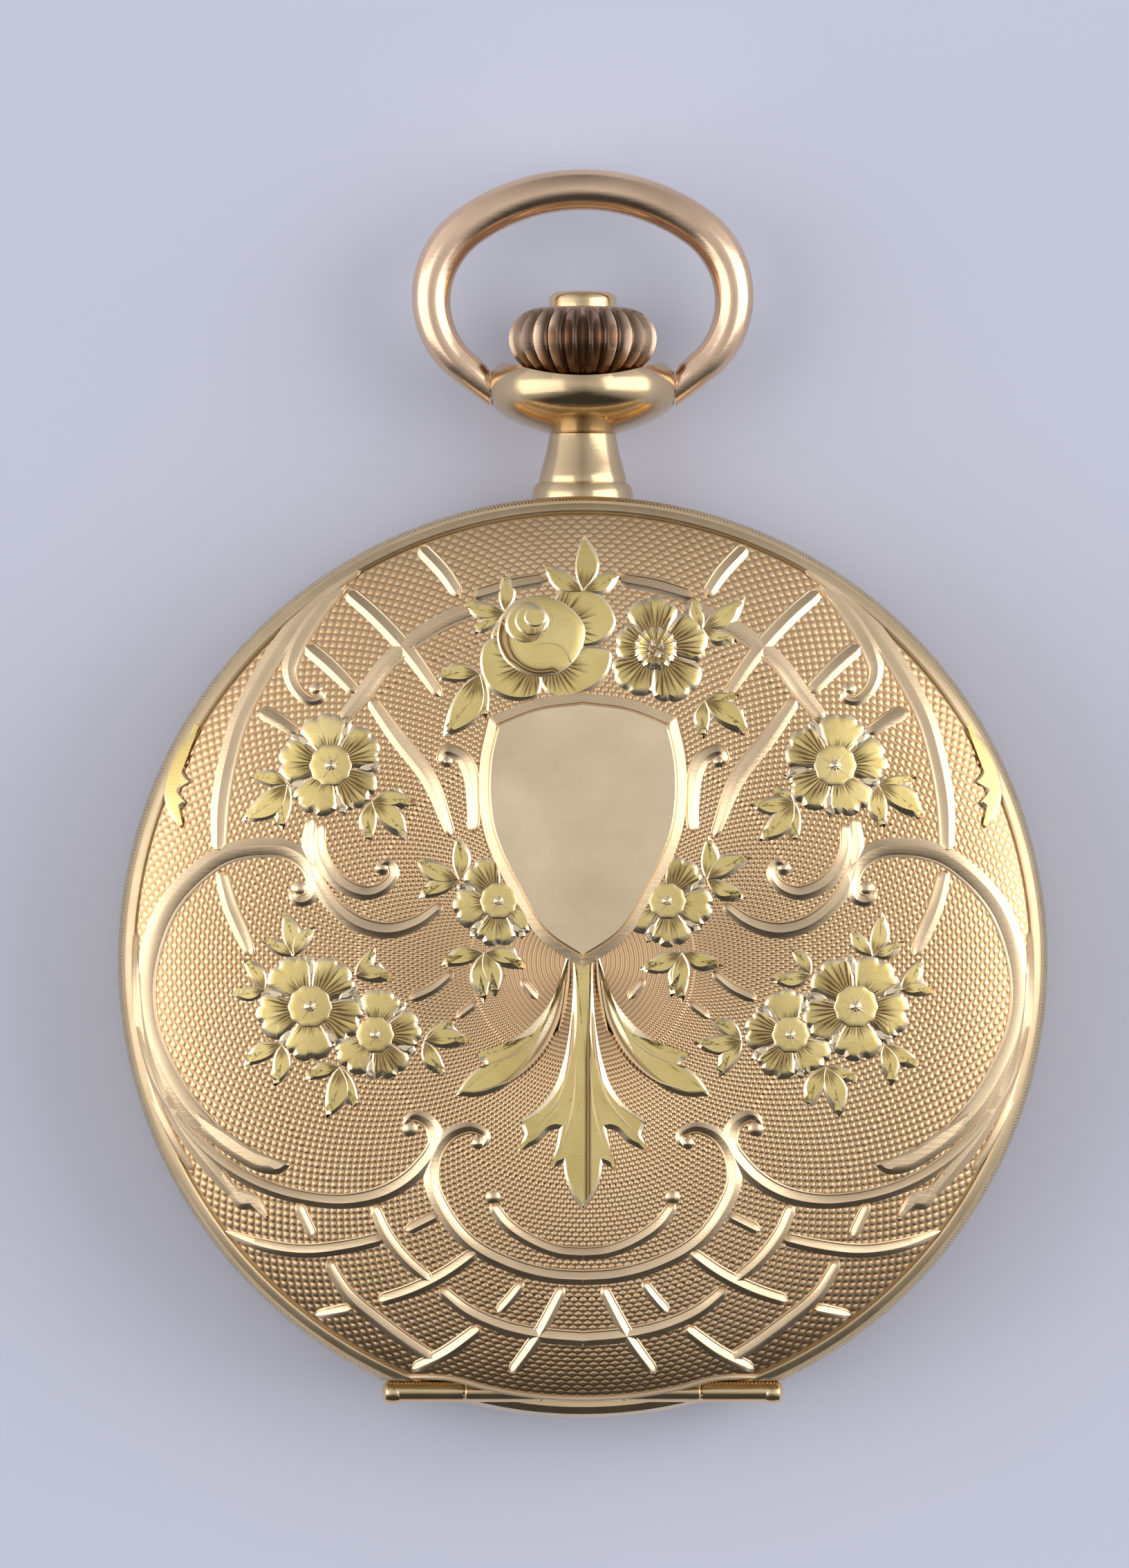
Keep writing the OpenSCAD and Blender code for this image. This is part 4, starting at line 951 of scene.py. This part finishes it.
def rod(piece, start, end, y, z, profile, columns=28):
    """A rod along X; profile gives (share of its length, radius) from start to end."""
    verts = [(start + (end - start) * s, y + r * math.cos(t), z + r * math.sin(t))
             for s, r in profile for t in whole_turn(columns)]
    faces = capped(len(profile), columns)
    piece.add(verts, flipped(faces) if start < end else faces)


KNUCKLE = [(0, KNUCKLE_R - 0.07), (0.02, KNUCKLE_R - 0.01), (0.05, KNUCKLE_R),
           (0.95, KNUCKLE_R), (0.98, KNUCKLE_R - 0.01), (1, KNUCKLE_R - 0.07)]
KNUCKLE_ENDS = (2.25, 6.35)             # the cover's knuckles reach from here to there
TONGUE = [(HINGE_Y, -0.3), (CHORD_Y + 0.1, -0.3), (CHORD_Y + 0.1, 0.5), (HINGE_Y, 0.45)]
for side in (-1, 1):
    ends = [side * x for x in KNUCKLE_ENDS]
    rod(shell, *ends, HINGE_Y, FRONT_HINGE_Z, KNUCKLE)
    corners = [(x, y, FRONT_HINGE_Z + z) for x in sorted(ends) for y, z in TONGUE]
    shell.add(corners, flipped(capped(2, 4)))
shell.build("cover_shell", "front_cover", [POLISHED, RIM_GOLD_SHADED, EDGE],
            ["front_cover"])

# Rounded ends of the hinge, swelling a little past the knuckles
hinge_ends = Piece()
END_CAP = [(0, 0.55), (0.1, 0.60), (0.3, 0.63), (0.6, 0.63), (0.8, 0.57), (0.93, 0.42), (1, 0.2)]
for side in (-1, 1):
    rod(hinge_ends, side * (HINGE_END - 0.5), side * (HINGE_END + 0.5), HINGE_Y - 0.06,
        FRONT_HINGE_Z, END_CAP)
hinge_ends.build("hinge_ends", "case", [POLISHED])


# ---- Pendant, bow, crown and button ----
def turned_about_stem(piece, profile, columns=96, shape=None, flat=math.inf):
    """Turns a (radius, y) profile about the stem; shape(theta, y, r) scales the radius.

    Both sides are cut off flat at x = flat."""
    r, y = np.array(profile, float).T
    theta = whole_turn(columns)
    radius = r[:, None] * (shape(theta[None, :], y[:, None], r[:, None]) if shape else 1)
    verts = np.stack([np.clip(radius * np.cos(theta), -flat, flat),
                      np.broadcast_to(y[:, None], (len(y), columns)),
                      STEM_Z + radius * np.sin(theta)], -1).reshape(-1, 3)
    height = np.broadcast_to(radius / r[:, None], (len(r), columns)).ravel()
    # with a shape, the flute bottoms get the painted shade
    depth = (height - height.min()) / max(np.ptp(height), 1e-6) if shape else np.ones(len(height))
    piece.add(verts, capped(len(profile), columns), 0, unlined(depth))


NECK = [(2.72, 24.3), (2.74, 24.9), (2.72, 25.3), (2.64, 25.6), (2.52, 25.78), (2.36, 25.82),
        (2.38, 25.95), (2.31, 26.3), (2.17, 26.8), (2.0, 27.4), (1.86, 28.1), (1.8, 28.45),
        (1.88, 28.5), (2.3, 28.62), (2.9, 28.82), (3.5, 29.05), (4.1, 29.35), (4.6, 29.68),
        (4.93, 30.02), (5.12, 30.4), (5.2, 30.8), (5.2, 31.2), (5.12, 31.55), (4.96, 31.85),
        (4.7, 32.15), (4.35, 32.38), (3.9, 32.45), (3.0, 31.6), (2.4, 31.3), (0.9, 31.2)]
pendant = Piece()
turned_about_stem(pendant, [(0.3, 24.3)] + NECK + [(0.3, 31.2)], 192, flat=BALL_FLAT)
pendant_object = pendant.build("pendant_ball", "case", [PENDANT_GOLD_SHADED], ["pendant"])


def cut_away(target, verts, faces):
    """Cuts a closed tool shape out of a piece's mesh."""
    mesh = bpy.data.meshes.new("tool")
    mesh.from_pydata(np.array(verts) * MM, [], faces)
    tool = scene_object("tool", mesh)
    boolean = target.modifiers.new("cut", "BOOLEAN")
    boolean.operation, boolean.object, boolean.solver = "DIFFERENCE", tool, "EXACT"
    bpy.context.view_layer.update()
    evaluated = target.evaluated_get(bpy.context.evaluated_depsgraph_get())
    result = bpy.data.meshes.new_from_object(evaluated)
    target.modifiers.clear()
    target.data = result
    result.set_sharp_from_angle(angle=math.radians(25))
    bpy.data.objects.remove(tool)


# the ball is hollowed under the crown by a wide cylinder across its top
SADDLE_R, SADDLE_Y, SADDLE_COLUMNS = 10.66, BOW_Y + 11.1, 160
saddle = [(SADDLE_R * math.cos(a), SADDLE_Y + SADDLE_R * math.sin(a), z)
          for z in (STEM_Z - 9.4, STEM_Z + 9.6) for a in whole_turn(SADDLE_COLUMNS)]
cut_away(pendant_object, saddle, capped(2, SADDLE_COLUMNS))

# The bow: an arc at either side and a wide one over the top, thinner towards the ball
BOW_A, BOW_H, BOW_WIRE = 8.2, 10.7, 1.1     # half width, height and radius of the wire
SIDE_ARC = 4.8
BOW_COLUMNS = 36
BOW_PIN = [(0, 0.5), (0.1, 0.58), (1, 0.58)]
side_x = BOW_A - SIDE_ARC
rise = BOW_H - SIDE_ARC
sag = (side_x**2 - (rise - SIDE_ARC) ** 2) / (2 * (rise - SIDE_ARC))
top_r = rise + sag
top_angle = math.degrees(math.atan2(sag, side_x))
low_arc = polar((side_x, BOW_Y + SIDE_ARC), SIDE_ARC, np.linspace(-44, top_angle, 50)[:-1])
top_arc = polar((0, BOW_Y + SIDE_ARC - sag), top_r, np.linspace(top_angle, 90, 30))
inner_end = np.array([BALL_R + 0.03, BOW_Y - 0.08])
shank = inner_end + (low_arc[0] - inner_end) * np.linspace(0, 0.92, 8)[[0, 3, 4, 5, 6, 7], None]
right = np.concatenate([shank, low_arc, top_arc])
path = np.concatenate([right, mirrored(right)[-2::-1]])
along, across = directions(path)
across[0] = (0, 1 / along[0, 0])        # both ends are cut off flat beside the ball
across[-1] = (0, 1 / along[-1, 0])
height = np.clip((path[:, 1] - inner_end[1]) / (0.7 * BOW_H), 0, 1)
wire = BOW_WIRE * (0.67 + 0.35 * np.sqrt(height))
a = whole_turn(BOW_COLUMNS)
ring_xy = path[:, None] + across[:, None] * (wire[:, None] * np.cos(a))[..., None]
ring_z = STEM_Z + wire[:, None] * np.sin(a)
bow = Piece()
verts = np.concatenate([ring_xy, ring_z[..., None]], -1).reshape(-1, 3)
bow.add(verts, flipped(capped(len(path), BOW_COLUMNS)))
for side in (-1, 1):
    rod(bow, side * (BALL_R - 1.05), side * (BALL_R + 0.3), BOW_Y, STEM_Z, BOW_PIN)
bow.build("bow_ring", "bow", [BOW_GOLD], ["bow"], sharp=35.0)

RIBS = 26
FLUTE_DEPTH = 0.13                      # as a share of the radius


def ribbed(theta, y, r):
    """Round flutes with narrow ribs between them, fading out over the shoulders.

    The bore for the button stays round."""
    flute = np.abs(np.cos(theta * RIBS / 2)) ** 0.85
    fade = np.clip((y - CROWN_Y - 0.15) / 0.5, 0, 1) * np.clip((CROWN_TOP - 0.02 - y) / 0.4, 0, 1)
    return 1 - FLUTE_DEPTH * flute * fade * (r > BUTTON_R + 0.2)


CROWN = [(0.85, 31.42), (1.9, 31.42), (2.35, 31.5), (2.75, 31.7), (3.2, 32.05), (3.6, 32.45),
         (3.87, 32.9), (4.0, 33.3), (4.03, 33.65), (3.98, 34.0), (3.84, 34.35), (3.61, 34.67),
         (3.3, 34.95), (2.95, 35.15), (2.6, 35.27), (2.3, CROWN_TOP), (1.96, CROWN_TOP),
         (1.93, 35.2), (1.93, 33.45), (0.85, 33.4)]
crown = Piece()
turned_about_stem(crown, CROWN, RIBS * 12, ribbed)
crown.build("crown_fluted", "crown", [CROWN_GOLD_SHADED], ["crown"], sharp=40.0)

button = Piece()
turned_about_stem(button, [(0.05, 34.9), (BUTTON_R - 0.06, 34.9), (BUTTON_R, 34.96),
                           (BUTTON_R, 35.75), (BUTTON_R - 0.05, 35.9), (BUTTON_R - 0.16, 36.03),
                           (BUTTON_R - 0.34, 36.12), (1.0, 36.18), (0.05, 36.2)])
turned_about_stem(button, [(0.28, 27.4), (0.28, 35.0)], 24)
button.build("release_button", "push_button", [POLISHED], ["push_button"])

# ---- Dial printing: the crown is at three o'clock, so twelve is towards -X ----
dial_box = node_box("dial")
DIAL_Z = dial_box[1][2]
DIAL_R = dial_box[1][0]
SECONDS = tuple(sum(node_box("fourth_wheel"))[:2] / 2)
SECONDS_R = 4.1
INK = 0.03                              # how far the print stands up
THICK, THIN = 0.42, 0.13                # strokes of the numerals
NUMERAL_R, NUMERAL_H = 14.6, 3.4
SERIF = 0.3                             # half length
STROKES = {                             # width, then strokes as from, to and thickness
    "I": (0.62, [((0, 0), (0, 1), THICK)]),
    "V": (1.35, [((-0.5, 1), (0, 0), THICK), ((0.5, 1), (0, 0), THIN)]),
    "X": (1.45, [((-0.5, 1), (0.5, 0), THICK), ((0.5, 1), (-0.5, 0), THIN)]),
}
NUMERALS = ["XII", "I", "II", "III", "IIII", "V", "", "VII", "VIII", "IX", "X", "XI"]


def clock(centre, minute, r, sideways=0.0):
    """A point r out from centre at a minute of the dial, and sideways from there."""
    a = math.radians(180 - 6 * minute)
    return (centre[0] + r * math.cos(a) + sideways * math.sin(a),
            centre[1] + r * math.sin(a) - sideways * math.cos(a))


def stroke(piece, start, end, width):
    """A flat printed bar from start to end."""
    start, end = np.array(start), np.array(end)
    side = np.array([start[1] - end[1], end[0] - start[0]])
    side = side / np.linalg.norm(side) * width / 2
    corners = [start - side, end - side, end + side, start + side]
    verts = [(*c, z) for z in (DIAL_Z - 0.02, DIAL_Z + INK) for c in corners]
    piece.add(verts, [(4, 5, 6, 7), (3, 2, 1, 0)] + [(i, (i + 1) % 4, 4 + (i + 1) % 4, 4 + i)
                                                     for i in range(4)])


def numeral(piece, text, minute):
    """A roman numeral standing on the dial's edge ring, its foot towards the centre."""
    left = -sum(STROKES[c][0] for c in text) / 2
    for letter in text:
        width, strokes = STROKES[letter]

        def spot(end, aside=0.0):
            return clock((0, 0), minute, NUMERAL_R + (end[1] - 0.5) * NUMERAL_H,
                         left + width / 2 + end[0] * width * 0.8 + aside)

        for first, last, thickness in strokes:
            stroke(piece, spot(first), spot(last), thickness)
        for end in sorted({end for pair in strokes for end in pair[:2]}):
            stroke(piece, spot(end, -SERIF), spot(end, SERIF), THIN)
        left += width


def track(piece, centre, outer, gap):
    """A railway track: two circles joined by sixty ticks, every fifth of them heavy."""
    for r in (outer, outer - gap):
        for k in range(120):
            stroke(piece, clock(centre, k / 2, r), clock(centre, (k + 1) / 2, r), 0.07)
    for k in range(60):
        heavy = k % 5 == 0
        stroke(piece, clock(centre, k, outer - gap), clock(centre, k, outer + 0.12 * heavy),
               0.24 if heavy else 0.08)


printing = Piece()
for hour, text in enumerate(NUMERALS):
    numeral(printing, text, 5 * hour)
track(printing, (0, 0), DIAL_R - 0.9, 0.75)
track(printing, SECONDS, SECONDS_R, 0.45)
ink, tree = node_material("black_enamel")
dress(tree, ramp(tree, noise(tree, texture_coordinates(tree), 300.0),
                 [(0.3, (0.012, 0.012, 0.014)), (0.7, (0.03, 0.03, 0.034))]), 0.25, 0.0)
printing.build("dial_printing", "case", [ink], sharp=20.0)

# ---- CAD nodes that keep their own shape ----
def plain(name, colour, rough, **sockets):
    """A glazed or polished non-metal with a little clouding."""
    material, tree = node_material(name)
    place = texture_coordinates(tree)
    shade = tuple(c * 0.93 for c in colour)
    dress(tree, ramp(tree, noise(tree, place, 120.0), [(0.35, shade), (0.65, colour)]),
          calculate(tree, "MULTIPLY_ADD", noise(tree, place, 400.0), 0.06, rough), 0.0,
          **sockets)
    return material


BY_SLOT = {
    "case_gold": POLISHED, "rose_gold": BOW_GOLD, "crown_gold": CROWN_GOLD_SHADED,
    "gilt": metal("gilt_frosted", (0.83, 0.66, 0.36), 0.34, spread=0.10),
    "steel": metal("polished_steel", (0.62, 0.62, 0.63), 0.22),
    "blued_steel": metal("blued_steel", (0.06, 0.10, 0.34), 0.20),
    "enamel": plain("white_enamel", (0.93, 0.92, 0.88), 0.10),
    "ruby": plain("ruby", (0.55, 0.03, 0.09), 0.08, **{"Transmission Weight": 0.4}),
    "crystal_glass": plain("crystal_glass", (0.97, 0.98, 0.98), 0.01,
                           **{"Transmission Weight": 1.0, "IOR": 1.45}),
}
for part in frame["record"]["subparts"]:
    node = frame["nodes"][part["node"]]
    node.data.materials.clear()
    node.data.materials.append(BY_SLOT[part["material_slot"]])

# ---- Stage, lights and camera ----
ORIGIN_PX = (843, 1390)                 # where the watch's centre stands in the frame
PX_PER_MM = 26.9
DISTANCE = 520.0
TENT_TOP, TENT_SIDES = 0.69, 0.64       # brightness of the light tent overhead, and added aside
TENT_FRONT, TENT_BACK = -1.3, -0.45     # added in front and behind
TENT_LEAST = 0.06
SPAN, FLOOR_Z = 2500.0, -0.02           # half width and height of the floor

steps = np.linspace(-SPAN, SPAN, 5)
gx, gy = np.meshgrid(steps, steps)
floor_points = np.column_stack([gx.ravel(), gy.ravel(), np.full(gx.size, FLOOR_Z)]) * MM
floor_mesh = bpy.data.meshes.new("floor")
floor_mesh.from_pydata(floor_points, [], [tuple(f) for f in quads(5, 5, closed=False)])
paper, tree = node_material("pale_paper")
dress(tree, ramp(tree, noise(tree, texture_coordinates(tree), 30.0),
                 [(0.3, (0.625, 0.64, 0.75)), (0.7, (0.64, 0.655, 0.77))]), 0.7, 0.0)
floor_mesh.materials.append(paper)
scene_object("floor", floor_mesh)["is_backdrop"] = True


def softbox(name, place, watts, width=400, height=620):
    """An oblong soft light that faces the watch."""
    data = bpy.data.lights.new(name, "AREA")
    data.shape = "RECTANGLE"
    data.size, data.size_y, data.energy = width * MM, height * MM, watts
    lamp = scene_object(name, data)
    lamp.location = Vector(place) * MM
    lamp.rotation_euler = (-lamp.location).to_track_quat("-Z", "Y").to_euler()


softbox("left_softbox", (-430, -20, 330), 0.85)
softbox("right_softbox", (450, 70, 310), 1.15)

world = bpy.data.worlds.new("studio")
bpy.context.scene.world = world
world.use_nodes = True
tree = world.node_tree
x, y, _ = components(tree, add_node(tree, "TexCoord").outputs["Generated"])
to_front = calculate(tree, "MAXIMUM", calculate(tree, "MULTIPLY", y, -1.0), 0.0)
to_back = calculate(tree, "MAXIMUM", y, 0.0)
level = calculate(tree, "MULTIPLY_ADD", calculate(tree, "ABSOLUTE", x), TENT_SIDES, TENT_TOP)
level = calculate(tree, "MULTIPLY_ADD", to_front, TENT_FRONT, level)
level = calculate(tree, "MULTIPLY_ADD", to_back, TENT_BACK, level)
background = tree.nodes["Background"].inputs
feed(tree, calculate(tree, "MAXIMUM", level, TENT_LEAST), background["Strength"])
feed(tree, (0.93, 0.95, 1.0), background["Color"])
bpy.context.scene.view_settings.view_transform = "Standard"

camera_data = bpy.data.cameras.new("camera")
camera_data.sensor_fit = "VERTICAL"
camera_data.sensor_height = 36.0
camera_data.lens = 36.0 * (DISTANCE - RIM_Z) / (PHOTO_H / PX_PER_MM)
camera_data.clip_start, camera_data.clip_end = 0.01, 20
camera = scene_object("camera", camera_data)
camera.location = Vector(((PHOTO_W / 2 - ORIGIN_PX[0]) / PX_PER_MM,
                          (ORIGIN_PX[1] - PHOTO_H / 2) / PX_PER_MM, DISTANCE)) * MM
bpy.context.scene.camera = camera

[[list(corner) for corner in box] for box in (cad_box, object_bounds())]
